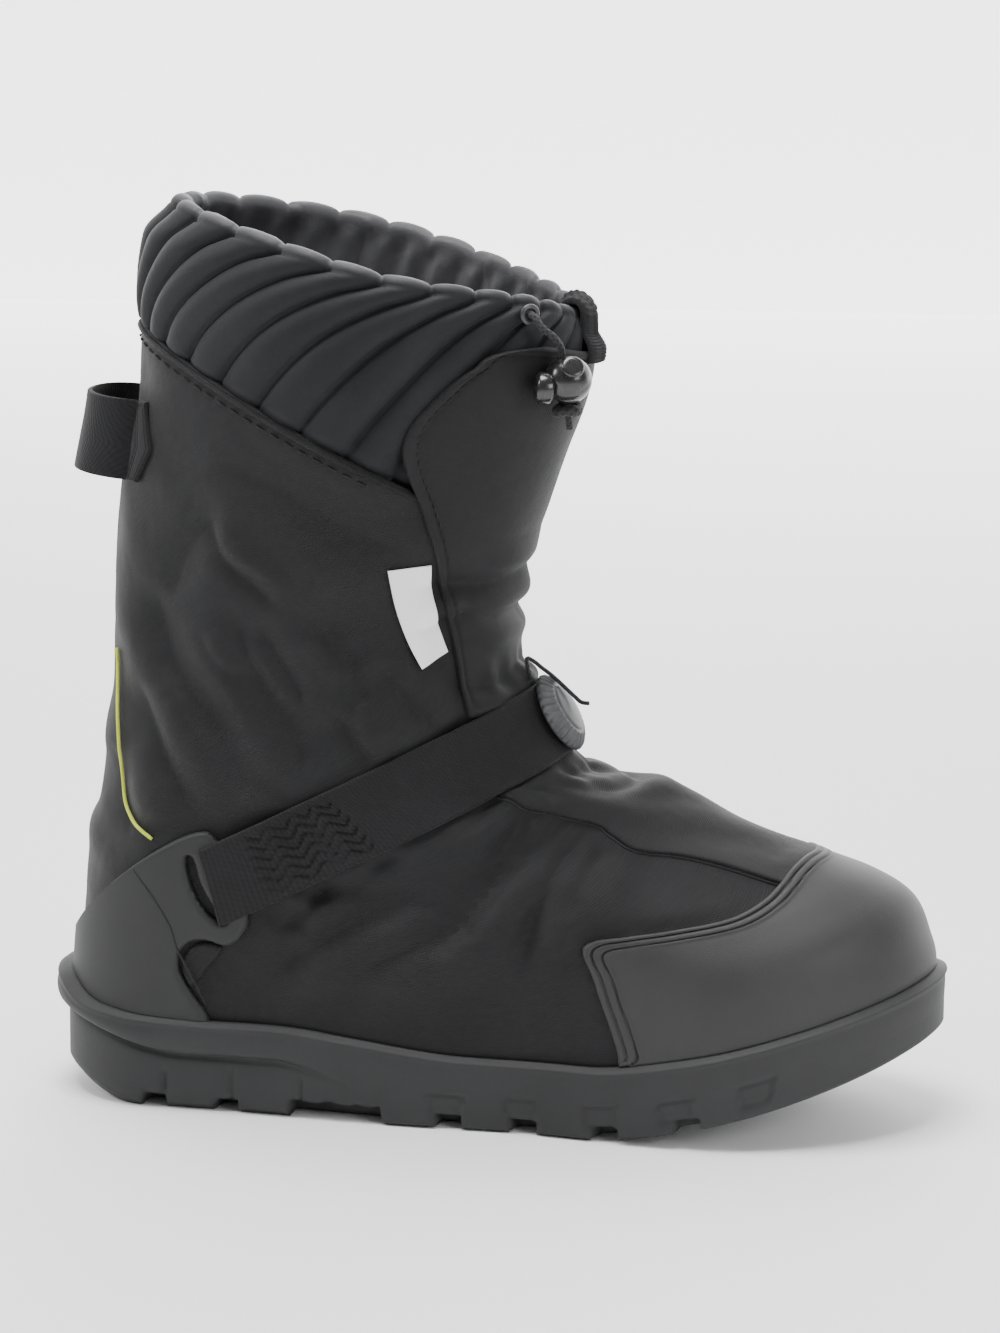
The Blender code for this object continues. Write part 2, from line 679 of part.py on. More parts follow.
# The label's corners in u and v: lower two, then upper two
LABEL_CORNERS = ((.3541, .5622), (.3815, .5778), (.3216, .6744), (.3560, .6800))


def make_side_label(group, mat):
    lower_left, lower_right, upper_left, upper_right = (np.array(c) for c in LABEL_CORNERS)
    along, up = np.meshgrid(np.linspace(0, 1, 3), np.linspace(0, 1, 5))
    place = ((lower_left + (lower_right - lower_left) * along[..., None]) * (1 - up[..., None])
             + (upper_left + (upper_right - upper_left) * along[..., None]) * up[..., None])
    u, v = place[..., 0], place[..., 1]
    return slab_on_upper(group, "side_label", u, v, SEAT, SEAT + LABEL_THICKNESS, mat)


# Half the pull loop in u: its sewn end, its turn away from the shaft and its free part. Then its v.
LOOP_END, LOOP_SEWN, LOOP_TURN, LOOP_FREE = .085, .064, .062, .058
LOOP_V = (.757, .842)


def make_pull_loop(group, mat):
    """Webbing sewn flat at both ends that stands off the back of the shaft between them."""
    sewn = np.linspace(LOOP_END, LOOP_SEWN, 3)
    u, v = np.meshgrid(np.concatenate([-sewn, np.linspace(-LOOP_FREE, LOOP_FREE, 15), sewn[::-1]]),
                       np.linspace(*LOOP_V, 3))
    low = SEAT + LOOP_REACH * np.clip(1 - (np.abs(u) / LOOP_TURN)**3.4, 0, 1)**.6
    return slab_on_upper(group, "pull_loop", u, v, low, low + LOOP_THICKNESS, mat)


# The hook tab in u and v, and the v above which it lies down on the collar
TAB_U, TAB_V = (.468, .555), (.905, 1)
TAB_DOWN = .955


def make_hook_tab(group, mat):
    """Sewn to the flap's top and laid down on the collar above it."""
    u, v = np.meshgrid(np.linspace(*TAB_U, 7), np.linspace(*TAB_V, 6))
    over_flap, over_collar = 2 * SEAT + FLAP_THICKNESS, FIT - COLLAR_TUCK
    low = over_flap + (over_collar - over_flap) * smoothstep(v, FLAP_EDGE[-1][0], TAB_DOWN)
    return slab_on_upper(group, "hook_tab", u, v, low, low + TAB_THICKNESS, mat)


# Tubes and hard pieces

def tube(group, name, points, radius, mat, resolution=2, ring=False):
    """A tube along the points, with flat ends or closed into a ring."""
    curve = bpy.data.curves.new(name, "CURVE")
    curve.dimensions = "3D"
    curve.bevel_depth = radius
    curve.bevel_resolution = resolution
    curve.use_fill_caps = True
    spline = curve.splines.new("POLY")
    spline.points.add(len(points) - 1)
    spline.use_cyclic_u = ring
    for spot, point in zip(spline.points, points):
        spot.co = (*point, 1)
    curve.materials.append(mat)
    obj = bpy.data.objects.new(name, curve)
    group.objects.link(obj)
    return obj


def route(points, spacing):
    """Points at about the given spacing along a smooth curve through the route's own points."""
    points = np.asarray(points, float)
    knots = np.concatenate([[0], np.cumsum(np.linalg.norm(np.diff(points, axis=0), axis=1))])
    fine = curve_through(knots, points, np.linspace(0, knots[-1], 400))
    walked = np.concatenate([[0], np.cumsum(np.linalg.norm(np.diff(fine, axis=0), axis=1))])
    count = max(int(round(walked[-1] / spacing)) + 1, 3)
    places = np.linspace(0, walked[-1], count)
    return np.stack([np.interp(places, walked, fine[:, k]) for k in range(3)], 1)


# The back panel's piped seam, from the back of the shaft down to the counter: u and v. Its spacings are
# in u and v for the search of its end, and in PIPING_RADIUS for the tube.
PIPING_PATH = ((.056, .610), (.0669, .5656), (.0751, .5211), (.0815, .470), (.0862, .4178), (.0939, .3956),
               (.108, .340), (.1205, .300))
PIPING_DENSE = .002
PIPING_STEP = 12


def make_piping(group, mat, name, side):
    """Runs down the seam and ends above the counter's top edge."""
    dense = route([(u, v, 0) for u, v in PIPING_PATH], PIPING_DENSE)
    points = lifted(side * dense[:, 0] % 1, dense[:, 1], SEAT + PIPING_RADIUS)
    clear = points[:, 2] > counter_top(points[:, 0]) + 2 * PIPING_RADIUS + SEAT
    return tube(group, name, route(points[clear], PIPING_STEP * PIPING_RADIUS), PIPING_RADIUS, mat)


def frame_on_upper(u, v):
    """Axes at a place on the upper: along it towards the front, up it and out of it."""
    out = Vector(upper_normal(np.array(u), np.array(v)))
    up = Vector(upper_point(u, v + .01) - upper_point(u, v - .01)).normalized()
    along = up.cross(out).normalized()
    return Matrix((along, out.cross(along), out)).transposed()


def turned(group, name, profile, mat, steps=20):
    """A turned solid: the profile's (radius, height) runs from the axis at the top down to it."""
    mesh = bpy.data.meshes.new(name)
    mesh.from_pydata([(radius, 0, height) for radius, height in profile], [],
                     [(k, k + 1) for k in range(len(profile) - 1)])
    obj = bpy.data.objects.new(name, mesh)
    group.objects.link(obj)
    screw = obj.modifiers.new("turn", "SCREW")
    screw.steps = screw.render_steps = steps
    screw.use_merge_vertices = True
    screw.merge_threshold = 1e-6
    mesh.materials.append(mat)
    return obj


# The buckle's place in u and v, and the patch of surface that its back is cut to
BUCKLE_PLACE = (.492, .489)
SEAT_U, SEAT_V = (.40, .60), (.38, .60)
#  radius in shares of half BUCKLE_LENGTH, height in shares of BUCKLE_HEIGHT
BUCKLE_PROFILE = ((0, 1), (.14, .98), (.48, .80), (.84, .56), (.96, .38), (1, .20), (.96, .05), (.90, 0), (0, 0))
# The buckle's cord, in shares of half BUCKLE_LENGTH from the buckle's middle
#  along the shoe's width, up, outwards
BUCKLE_CORD_PATH = ((-.19, 1.09, .01), (-.19, 1.21, .045), (-.13, 1.43, .09), (-.05, 1.57, .15),
                    (.03, 1.43, .22), (.07, 1.17, .31), (.08, .98, .39), (.08, .73, .48), (.08, .43, .57),
                    (.08, .16, .65), (.07, -.05, .73), (.05, -.16, .89))
CORD_STEP = .22
STRAP_TOP = SEAT + FLAP_THICKNESS + SEAT + STRAP_THICKNESS


def buckle_matrix():
    place = Vector(lifted(*BUCKLE_PLACE, STRAP_TOP + SEAT))
    return Matrix.Translation(place) @ frame_on_upper(*BUCKLE_PLACE).to_4x4()


def make_buckle(group, cutters, mat):
    """A domed oval disc, its back cut to sit on the strap."""
    half = BUCKLE_LENGTH / 2
    profile = [(radius * half, height * BUCKLE_HEIGHT) for radius, height in BUCKLE_PROFILE]
    disc = turned(cutters, "strap_buckle_disc", profile[::-1], mat, 20)
    mesh = bpy.data.meshes.new_from_object(disc.evaluated_get(bpy.context.evaluated_depsgraph_get()))
    bpy.data.objects.remove(disc, do_unlink=True)
    mesh.transform(buckle_matrix() @ Matrix.Diagonal((BUCKLE_WIDTH / BUCKLE_LENGTH, 1, 1, 1)))
    buckle = bpy.data.objects.new("strap_buckle", mesh)
    group.objects.link(buckle)
    u, v = np.meshgrid(np.linspace(*SEAT_U, 13), np.linspace(*SEAT_V, 9))
    seat = slab_on_upper(cutters, "buckle_seat", u, v, 0, STRAP_TOP + FIT, mat)
    cut(buckle, seat)
    return buckle


def make_buckle_cord(group, mat):
    path = route(BUCKLE_CORD_PATH, CORD_STEP)
    points = [buckle_matrix() @ Vector(place * BUCKLE_LENGTH / 2) for place in path]
    return tube(group, "buckle_cord", points, BUCKLE_CORD_RADIUS, mat)


EYELET_PLACE = (.3928, .9643)
LOCK_PLACE = (.4204, .8900)
LOCK_LEAN = radians(17)
# The drawcord between the eyelet and the lock, in shares of LOCK_RADIUS from the lock's middle, and
# its run through the lock down to the tail's end. Rise and axes are along the shoe, up and outwards.
CORD_RISE = ((-1.22, 2.02, -.62), (-.86, 1.74, -.30))
LOCK_AXIS = (-sin(LOCK_LEAN), cos(LOCK_LEAN), 0)
BORE_SETBACK = -.26
CORD_SHARES = (1.30, .90, 0, -.90, -1.30, -1.75, -2.25)
KNOT_SHARE = -1.36
BUTTON_AXIS = (-.42, .60, .68)


def ring_points(matrix, radius, count):
    turns = np.arange(count) * 2 * pi / count
    return [matrix @ Vector((radius * cos(a), radius * sin(a), 0)) for a in turns]


def axis_matrix(place, axis):
    """Axes at a place with Z along the axis."""
    return Matrix.Translation(place) @ Vector(axis).to_track_quat("Z", "Y").to_matrix().to_4x4()


def lock_frame():
    lift = SEAT + FLAP_THICKNESS + SEAT + LOCK_RADIUS
    return Matrix.Translation(Vector(lifted(*LOCK_PLACE, lift))) @ frame_on_upper(*LOCK_PLACE).to_4x4()


def bore_point(share):
    """A place on the lock's bore, which lies behind the lock's middle, in the lock's own frame."""
    return (Vector(LOCK_AXIS) * share + Vector((0, 0, BORE_SETBACK))) * LOCK_RADIUS


def make_eyelet(group, mat):
    frame = Matrix.Translation(Vector(lifted(*EYELET_PLACE, SEAT + EYELET_WIRE)))
    frame = frame @ frame_on_upper(*EYELET_PLACE).to_4x4()
    return tube(group, "drawcord_eyelet", ring_points(frame, EYELET_RADIUS, 12), EYELET_WIRE, mat, 1, True)


def make_drawcord(group, mat):
    eyelet = Vector(lifted(*EYELET_PLACE, SEAT))
    out = Vector(upper_normal(*(np.array(share) for share in EYELET_PLACE)))
    frame = lock_frame()
    spots = [eyelet, eyelet + out * 2.4 * CORD_RADIUS]
    spots += [frame @ (Vector(share) * LOCK_RADIUS) for share in CORD_RISE]
    spots += [frame @ bore_point(share) for share in CORD_SHARES]
    return tube(group, "drawcord", route(spots, 2 * CORD_RADIUS), CORD_RADIUS, mat)


def make_cord_lock(group, cutters, mat):
    """A ball with a bore for the cord."""
    angles = np.linspace(0, pi, 11)
    profile = [(LOCK_RADIUS * sin(a), LOCK_RADIUS * cos(a)) for a in angles]
    ball = turned(cutters, "cord_lock_ball", profile, mat, 18)
    mesh = bpy.data.meshes.new_from_object(ball.evaluated_get(bpy.context.evaluated_depsgraph_get()))
    bpy.data.objects.remove(ball, do_unlink=True)
    frame = lock_frame()
    mesh.transform(axis_matrix(frame.translation, frame.to_3x3() @ Vector(BUTTON_AXIS)))
    lock = bpy.data.objects.new("cord_lock", mesh)
    group.objects.link(lock)
    bore = tube(cutters, "lock_bore", [frame @ bore_point(share) for share in (-1.2, 1.2)],
                CORD_RADIUS + SEAT, mat)
    cut(lock, solid_of(bore))
    return lock


def solid_of(curve):
    """The tube as a mesh object, its curve removed."""
    mesh = bpy.data.meshes.new_from_object(curve.evaluated_get(bpy.context.evaluated_depsgraph_get()))
    obj = bpy.data.objects.new(curve.name + "_solid", mesh)
    curve.users_collection[0].objects.link(obj)
    bpy.data.objects.remove(curve, do_unlink=True)
    return obj


def make_lock_button(group, mat):
    """The lock's round button, just above the ball."""
    frame = lock_frame()
    direction = (frame.to_3x3() @ Vector(BUTTON_AXIS)).normalized()
    profile = ((0, BUTTON_HEIGHT), (.7 * BUTTON_RADIUS, BUTTON_HEIGHT), (BUTTON_RADIUS, .6 * BUTTON_HEIGHT),
               (BUTTON_RADIUS, 0), (0, 0))
    button = turned(group, "lock_button", profile[::-1], mat, 16)
    mesh = bpy.data.meshes.new_from_object(button.evaluated_get(bpy.context.evaluated_depsgraph_get()))
    mesh.transform(axis_matrix(frame.translation + direction * (LOCK_RADIUS + FIT), direction))
    bpy.data.objects.remove(button, do_unlink=True)
    button = bpy.data.objects.new("lock_button", mesh)
    group.objects.link(button)
    return button


def make_knot(group, mat):
    """The knot as one thick turn round the cord."""
    frame = lock_frame()
    axis = frame.to_3x3() @ Vector(LOCK_AXIS)
    around = axis_matrix(frame @ bore_point(KNOT_SHARE), axis)
    return tube(group, "drawcord_knot", ring_points(around, CORD_RADIUS + SEAT + KNOT_WIRE, 12), KNOT_WIRE,
                mat, 2, True)


def main():
    remove_everything()
    shoe = collection("winter_overshoe")
    cutters = collection("cutters")
    rubber = material("rubber", (.055, .055, .06), .55)
    smooth_rubber = material("smooth_rubber", (.06, .06, .065), .45)
    nylon = material("nylon", (.03, .03, .034), .6)
    quilt = material("quilt", (.025, .025, .028), .55)
    foam = material("foam", (.05, .05, .05), .9)
    webbing = material("webbing", (.02, .02, .022), .8)
    plastic = material("plastic", (.18, .18, .19), .5)
    black_plastic = material("black_plastic", (.02, .02, .02), .2)
    cord = material("cord", (.03, .03, .03), .7)
    white = material("label_white", (.7, .72, .7), .7)
    yellow = material("piping_yellow", (.55, .62, .08), .5)
    make_outsole(shoe, cutters, rubber)
    make_insole(shoe, foam)
    make_upper(shoe, nylon)
    make_collar(shoe, quilt)
    make_toe_cap(shoe, smooth_rubber)
    make_heel_counter(shoe, cutters, rubber)
    make_rear_trim(shoe, cutters, nylon, "rear_trim_outer", 1)
    make_rear_trim(shoe, cutters, nylon, "rear_trim_inner", -1)
    make_front_flap(shoe, nylon)
    make_instep_strap(shoe, webbing)
    make_side_label(shoe, white)
    make_pull_loop(shoe, webbing)
    make_hook_tab(shoe, webbing)
    make_piping(shoe, yellow, "piping_outer", 1)
    make_piping(shoe, yellow, "piping_inner", -1)
    make_buckle(shoe, cutters, plastic)
    make_buckle_cord(shoe, cord)
    make_eyelet(shoe, black_plastic)
    make_drawcord(shoe, cord)
    make_cord_lock(shoe, cutters, black_plastic)
    make_lock_button(shoe, black_plastic)
    make_knot(shoe, cord)


main()
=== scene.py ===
# %% [markdown]
# # A winter overshoe
# A right overshoe that goes on over a work shoe: a lugged rubber sole, a rubber cap and heel counter,
# a nylon shaft, a quilted collar, a webbing strap with a dial buckle, and a drawcord with a lock. The
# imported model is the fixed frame. Each cell below makes one piece or one finish on top of it.

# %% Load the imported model
from math import cos, pi, radians, sin

import bmesh
import bpy
import numpy as np
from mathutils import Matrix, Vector


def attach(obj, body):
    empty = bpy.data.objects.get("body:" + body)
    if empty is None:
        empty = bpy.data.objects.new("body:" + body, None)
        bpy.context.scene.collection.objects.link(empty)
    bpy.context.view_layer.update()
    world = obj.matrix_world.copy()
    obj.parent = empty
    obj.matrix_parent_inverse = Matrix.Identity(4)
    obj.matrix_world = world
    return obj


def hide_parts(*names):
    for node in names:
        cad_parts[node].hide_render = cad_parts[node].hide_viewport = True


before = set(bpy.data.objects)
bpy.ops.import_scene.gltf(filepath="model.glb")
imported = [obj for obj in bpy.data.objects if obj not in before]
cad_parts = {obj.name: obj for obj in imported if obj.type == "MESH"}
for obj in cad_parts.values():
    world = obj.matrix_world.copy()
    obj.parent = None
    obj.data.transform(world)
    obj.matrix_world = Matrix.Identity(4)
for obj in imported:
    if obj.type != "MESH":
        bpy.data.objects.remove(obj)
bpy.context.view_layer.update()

# %% [markdown]
# ## Camera, floor and light
# The view is a little above the outer side, turned slightly towards the toe. A long lens from 1.4 m
# keeps the sole's far edge small, as a product photo does. The light is mostly even, with one big soft
# lamp above and weaker ones round the shoe. The floor is a wide pale disc that glows more and more
# towards a glowing wall far behind, so that the picture ends in a white without a horizon.

# %% Camera
def add_object(name, data):
    """Puts a new object with this data into the scene."""
    obj = bpy.data.objects.new(name, data)
    bpy.context.scene.collection.objects.link(obj)
    return obj


CAMERA_TURN, CAMERA_RISE = radians(10.5), radians(11)
CAMERA_DISTANCE, LENS_MM, SENSOR_MM = 1.4, 99.06, 36
CAMERA_TARGET = Vector((.125, 0, .170))

back = Vector((sin(CAMERA_TURN) * cos(CAMERA_RISE), -cos(CAMERA_TURN) * cos(CAMERA_RISE), sin(CAMERA_RISE)))
camera_data = bpy.data.cameras.new("camera")
camera_data.lens, camera_data.sensor_width, camera_data.clip_end = LENS_MM, SENSOR_MM, 200
camera = add_object("camera", camera_data)
camera.location = CAMERA_TARGET + back * CAMERA_DISTANCE
camera.rotation_euler = back.to_track_quat("Z", "Y").to_euler()
bpy.context.scene.camera = camera

# %% Soft lamps and a pale world
SHOE_MIDDLE, WORLD_STRENGTH = Vector((.12, 0, .15)), .33


def lamp(name, place, size, power):
    """A square area lamp at place that points at the shoe's middle."""
    data = bpy.data.lights.new(name, "AREA")
    data.shape, data.size, data.energy = "SQUARE", size, power
    obj = add_object(name, data)
    obj.location = place
    obj.rotation_euler = (Vector(place) - SHOE_MIDDLE).to_track_quat("Z", "Y").to_euler()


lamp("lamp_above", (.0, -.15, 1.6), .8, 36)
lamp("lamp_left", (-1.3, -.40, 1.1), .5, 15)
lamp("lamp_right", (1.4, -1.0, .8), .7, 12)
lamp("lamp_behind", (.2, 1.6, 1.2), 1.2, 12)

world = bpy.data.worlds.new("studio")
world.use_nodes = True
sky = world.node_tree.nodes["Background"].inputs
sky[0].default_value, sky[1].default_value = (1, 1, 1, 1), WORLD_STRENGTH
bpy.context.scene.world = world

# %% [markdown]
# ## Shader maths in Python
# A finish is a small sum: weave times strength, plus grain. Writing that with Python operators keeps it
# readable. `Wire` holds one socket, and each operator adds the Math node that does the work.

# %% A socket that understands arithmetic
def plug(tree, slot, value):
    """Links a wire to a socket, or writes a plain value into it."""
    if isinstance(value, Wire):
        tree.links.new(value.socket, slot)
    else:
        slot.default_value = value


class Wire:
    """One output socket in a material, with + - * ** as Math nodes."""
    def __init__(self, tree, socket):
        self.tree, self.socket = tree, socket

    def maths(self, operation, *values):
        node = self.tree.nodes.new("ShaderNodeMath")
        node.operation = operation
        for slot, value in zip(node.inputs, values):
            plug(self.tree, slot, value)
        return Wire(self.tree, node.outputs[0])

    def __add__(self, other): return self.maths("ADD", self, other)
    def __radd__(self, other): return self.maths("ADD", other, self)
    def __sub__(self, other): return self.maths("SUBTRACT", self, other)
    def __rsub__(self, other): return self.maths("SUBTRACT", other, self)
    def __mul__(self, other): return self.maths("MULTIPLY", self, other)
    def __rmul__(self, other): return self.maths("MULTIPLY", other, self)
    def __pow__(self, other): return self.maths("POWER", self, other)
    def wave(self): return self.maths("SINE", self)

    def ease(self, low, high):
        """0 below low, 1 above high, smooth between."""
        node = self.tree.nodes.new("ShaderNodeMapRange")
        node.interpolation_type = "SMOOTHSTEP"
        for slot, value in (("Value", self), ("From Min", low), ("From Max", high)):
            plug(self.tree, node.inputs[slot], value)
        return Wire(self.tree, node.outputs["Result"])

# %% A finish: one material with its Principled shader
class Finish:
    """A material. `node` adds any node, `colour` blends two colours, `bump` chains a height."""
    def __init__(self, name, roughness=.5, **fixed):
        self.material = bpy.data.materials.new(name)
        self.material.use_nodes = True
        self.tree = self.material.node_tree
        self.shader = self.tree.nodes["Principled BSDF"]
        for socket, value in {"Roughness": roughness, **fixed}.items():
            self.shader.inputs[socket.replace("_", " ")].default_value = value
        self.relief = None

    def node(self, kind, settings=None, output=0, **sockets):
        """Any node: its settings first, then values or wires for its sockets by name."""
        node = self.tree.nodes.new(kind)
        for key, value in (settings or {}).items():
            setattr(node, key, value)
        for key, value in sockets.items():
            plug(self.tree, node.inputs[key.replace("_", " ")], value)
        return Wire(self.tree, node.outputs[output])

    def place(self):
        return self.node("ShaderNodeTexCoord", output="Object")

    def field(self, name):
        """A number that the mesh carries at its points."""
        return self.node("ShaderNodeAttribute", {"attribute_name": name}, output="Fac")

    def along(self):
        """The piece's own UV map in metres, as two wires."""
        uv = self.node("ShaderNodeUVMap", {"uv_map": "UVMap"}, output="UV")
        split = self.node("ShaderNodeSeparateXYZ", Vector=uv)
        return split, Wire(self.tree, split.socket.node.outputs[1])

    def noise(self, scale, detail=3, roughness=.5, stretch=None):
        where = self.place()
        if stretch:
            where = self.node("ShaderNodeMapping", Vector=where, Scale=stretch)
        return self.node("ShaderNodeTexNoise", Vector=where, Scale=scale, Detail=detail, Roughness=roughness)

    def colour(self, low, high, share):
        """A blend from low to high, each an (r, g, b) or a wire."""
        node = self.tree.nodes.new("ShaderNodeMix")
        node.data_type = "RGBA"
        plug(self.tree, node.inputs["Factor"], share)
        for slot, value in zip([s for s in node.inputs if s.type == "RGBA"], (low, high)):
            plug(self.tree, slot, value if isinstance(value, Wire) else (*value, 1))
        return Wire(self.tree, [s for s in node.outputs if s.type == "RGBA"][0])

    def feed(self, socket, wire):
        self.tree.links.new(wire.socket, self.shader.inputs[socket])

    def bump(self, height, depth):
        """Adds a height from 0 to 1, depth metres deep, under the bumps so far."""
        below = {"Normal": self.relief} if self.relief else {}
        self.relief = self.node("ShaderNodeBump", Strength=1, Distance=depth, Height=height, **below)
        self.feed("Normal", self.relief)

# %% The floor, and a glowing wall well behind the shoe
GLOW, GLOW_FROM, GLOW_TO = 2.2, .2, 3.0
FLOOR_RADIUS, WALL_AWAY, WALL_HALF, WALL_HEIGHT = 60, 3.2, 9, 6


def backdrop(name, corners, finish):
    """One flat face that only dresses the picture."""
    mesh = bpy.data.meshes.new(name)
    mesh.from_pydata(corners, [], [tuple(range(len(corners)))])
    mesh.materials.append(finish.material)
    return add_object(name, mesh)


floor_finish = Finish("floor_pale", .7, Emission_Strength=GLOW)
away = floor_finish.node("ShaderNodeSeparateXYZ", output=1, Vector=floor_finish.place())
floor_finish.feed("Emission Color", away.ease(GLOW_FROM, GLOW_TO))
floor_finish.feed("Base Color", floor_finish.colour((.90, .90, .90), (.93, .93, .93), floor_finish.noise(3)))
turns = np.linspace(0, 2 * pi, 97)[:-1]
floor = backdrop("floor", [(FLOOR_RADIUS * cos(a), FLOOR_RADIUS * sin(a), 0) for a in turns], floor_finish)

wall_finish = Finish("wall_white", .9, Emission_Color=(1, 1, 1, 1), Emission_Strength=GLOW)
wall_corners = [(x * WALL_HALF, WALL_AWAY, z * WALL_HEIGHT) for x, z in ((-1, 0), (1, 0), (1, 1), (-1, 1))]
wall = backdrop("wall", wall_corners, wall_finish)

# %% [markdown]
# ## The shoe's surface as a function
# Every fabric piece lies on one surface. It is a stack of level rings: low rings have the outline of a
# foot, high ones that of a leg, and the tables hold each ring's ends, heights and half widths. A point
# is named by u, its share of the way round from the heel past the outer side, and v, its share of the
# way up from the sole's floor to the rim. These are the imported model's own sizes, in metres.

# %% Sizes
SOLE_LENGTH, HEEL_BACK = .345, -.049
BALL_WIDTH, HEEL_WIDTH, WAIST_WIDTH = .117, .084, .092
TOE_SWING, WAIST_BOW = .008, .003
TOE_SPRING, SPRING_START, SPRING_POWER = .036, .168, 1.4
SIDE_WALL, FLOOR_HEIGHT, LUG_DEPTH, ARCH_DEPTH, LUG_GAP = .036, .014, .0042, .006, .0088
LEDGE_REACH, LEDGE_FOOT, LEDGE_RISE, HEEL_LIFT = .0042, .022, .012, .0075
INSTEP_HEIGHT, SHAFT_HEIGHT, SHAFT_DEPTH = .122, .350, .168
FOOT_WIDTH, SHAFT_WIDTH, RIM_HUMP = .106, .110, .0055
TOE_TIP = HEEL_BACK + SOLE_LENGTH
FIT, SEAT = .0003, .0006

#  back_x  back_h  front_x  front_h  heel  waist  ball  back_round  front_round  swing
FOOT_SECTIONS = (
    (-.1226, .000, .8348, .000, .356, .390, .503, .115, .260, 1.0),
    (-.1246, .164, .8391, .100, .365, .404, .509, .120, .245, 1.0),
    (-.1197, .344, .8333, .180, .373, .406, .509, .125, .235, 1.0),
    (-.1156, .459, .8159, .310, .378, .409, .493, .130, .230, .98),
    (-.1130, .541, .7768, .424, .381, .409, .468, .140, .265, .94),
    (-.1090, .648, .7130, .560, .384, .404, .426, .155, .350, .85),
    (-.1029, .754, .6319, .726, .387, .392, .370, .180, .430, .62),
    (-.0957, .852, .5420, .886, .392, .398, .362, .215, .480, .38),
    (-.0890, .951, .4725, .938, .398, .406, .379, .270, .500, .12),
)
SHAFT_SECTIONS = (
    (-.1714, .037, .8690, .042, .392, .405, .384, .330, .510, .05),
    (-.1595, .131, .7946, .164, .405, .418, .400, .400, .510, .00),
    (-.1506, .271, .7815, .280, .418, .437, .418, .460, .500, .00),
    (-.1429, .393, .8214, .393, .429, .456, .429, .490, .490, .00),
    (-.1101, .542, .8869, .551, .445, .472, .445, .500, .490, .00),
    (-.0792, .701, .9405, .673, .461, .491, .461, .500, .490, .00),
    (-.0714, .832, .9524, .748, .472, .499, .472, .500, .490, .00),
    (-.0417, .986, .9524, .790, .475, .502, .475, .500, .490, .00),
)
#  share of SOLE_LENGTH from the heel, share of SIDE_WALL
WALL_HEIGHTS = ((0, 1.36), (.03, 1.28), (.06, 1.13), (.10, 1.06), (.18, 1.0), (.30, .98), (.37, .90),
                (.47, .79), (.60, .78), (.75, .79), (.90, .745), (1, .67))

# %% Smooth steps, bells and smooth curves
def ease(x, low, high):
    """0 below low, 1 above high: s squared times (3 - 2 s), s the share of the way."""
    s = np.clip((x - low) / (high - low), 0, 1)
    return s * s * (3 - 2 * s)


def bell(x, middle, width):
    """1 at the middle, falling off on both sides: e to the minus square of the distance in widths."""
    return np.exp(-((x - middle) / width)**2)


def quarter_round(gap, rim):
    """A quarter circle over the distance from an edge: 0 at the edge, 1 from rim inwards."""
    return np.sqrt(1 - (1 - np.clip(gap / rim, 0, 1))**2)


def unit(vectors):
    """The same directions, with length 1."""
    return vectors / np.linalg.norm(vectors, axis=-1, keepdims=True)


def walk(points):
    """The distance walked along a line of points, at each of them."""
    return np.concatenate([[0], np.cumsum(np.linalg.norm(np.diff(points, axis=0), axis=1))])


def curve_through(knots, rows, at):
    """Cubic curve through rows of values at the knots, with the slope at a knot from its neighbours."""
    knots, rows, at = (np.asarray(a, float) for a in (knots, rows, at))
    slopes = np.gradient(rows, knots, axis=0)
    i = np.clip(np.searchsorted(knots, at, side="right") - 1, 0, len(knots) - 2)
    span = knots[i + 1] - knots[i]
    s = (at - knots[i]) / span
    if rows.ndim == 2:
        s, span = s[..., None], span[..., None]
    start, end, leave, arrive = rows[i], rows[i + 1], slopes[i] * span, slopes[i + 1] * span
    return (start * (2 * s**3 - 3 * s**2 + 1) + leave * (s**3 - 2 * s**2 + s)
            + end * (3 * s**2 - 2 * s**3) + arrive * (s**3 - s**2))

# %% The surface itself
def ground(x):
    """Height of the underside: 0 up to SPRING_START, then the toe spring as a power of the way."""
    reach = np.clip((np.asarray(x) - SPRING_START) / (TOE_TIP - SPRING_START), 0, None)
    return TOE_SPRING * reach**SPRING_POWER


def sections():
    """Both tables in metres, and each ring's v from the distance walked up the back and the front."""
    rise = SHAFT_HEIGHT - FLOOR_HEIGHT - INSTEP_HEIGHT
    rows = []
    for table, length, base, height, width in (
            (FOOT_SECTIONS, SOLE_LENGTH, 0, INSTEP_HEIGHT, FOOT_WIDTH),
            (SHAFT_SECTIONS, SHAFT_DEPTH, INSTEP_HEIGHT, rise, SHAFT_WIDTH)):
        part = np.array(table)
        part[:, [0, 2]] *= length
        part[:, [1, 3]] = base + part[:, [1, 3]] * height
        part[:, 4:7] *= width
        part[:, 9] *= TOE_SWING
        rows.append(part)
    rows = np.concatenate(rows)
    steps = np.diff(rows[:, :4], axis=0)
    walked = (np.hypot(steps[:, 0], steps[:, 1]) + np.hypot(steps[:, 2], steps[:, 3])) / 2
    knots = np.concatenate([[0], np.cumsum(walked)])
    return rows, knots / knots[-1], knots[-1]


SECTIONS, KNOTS, CLIMB = sections()


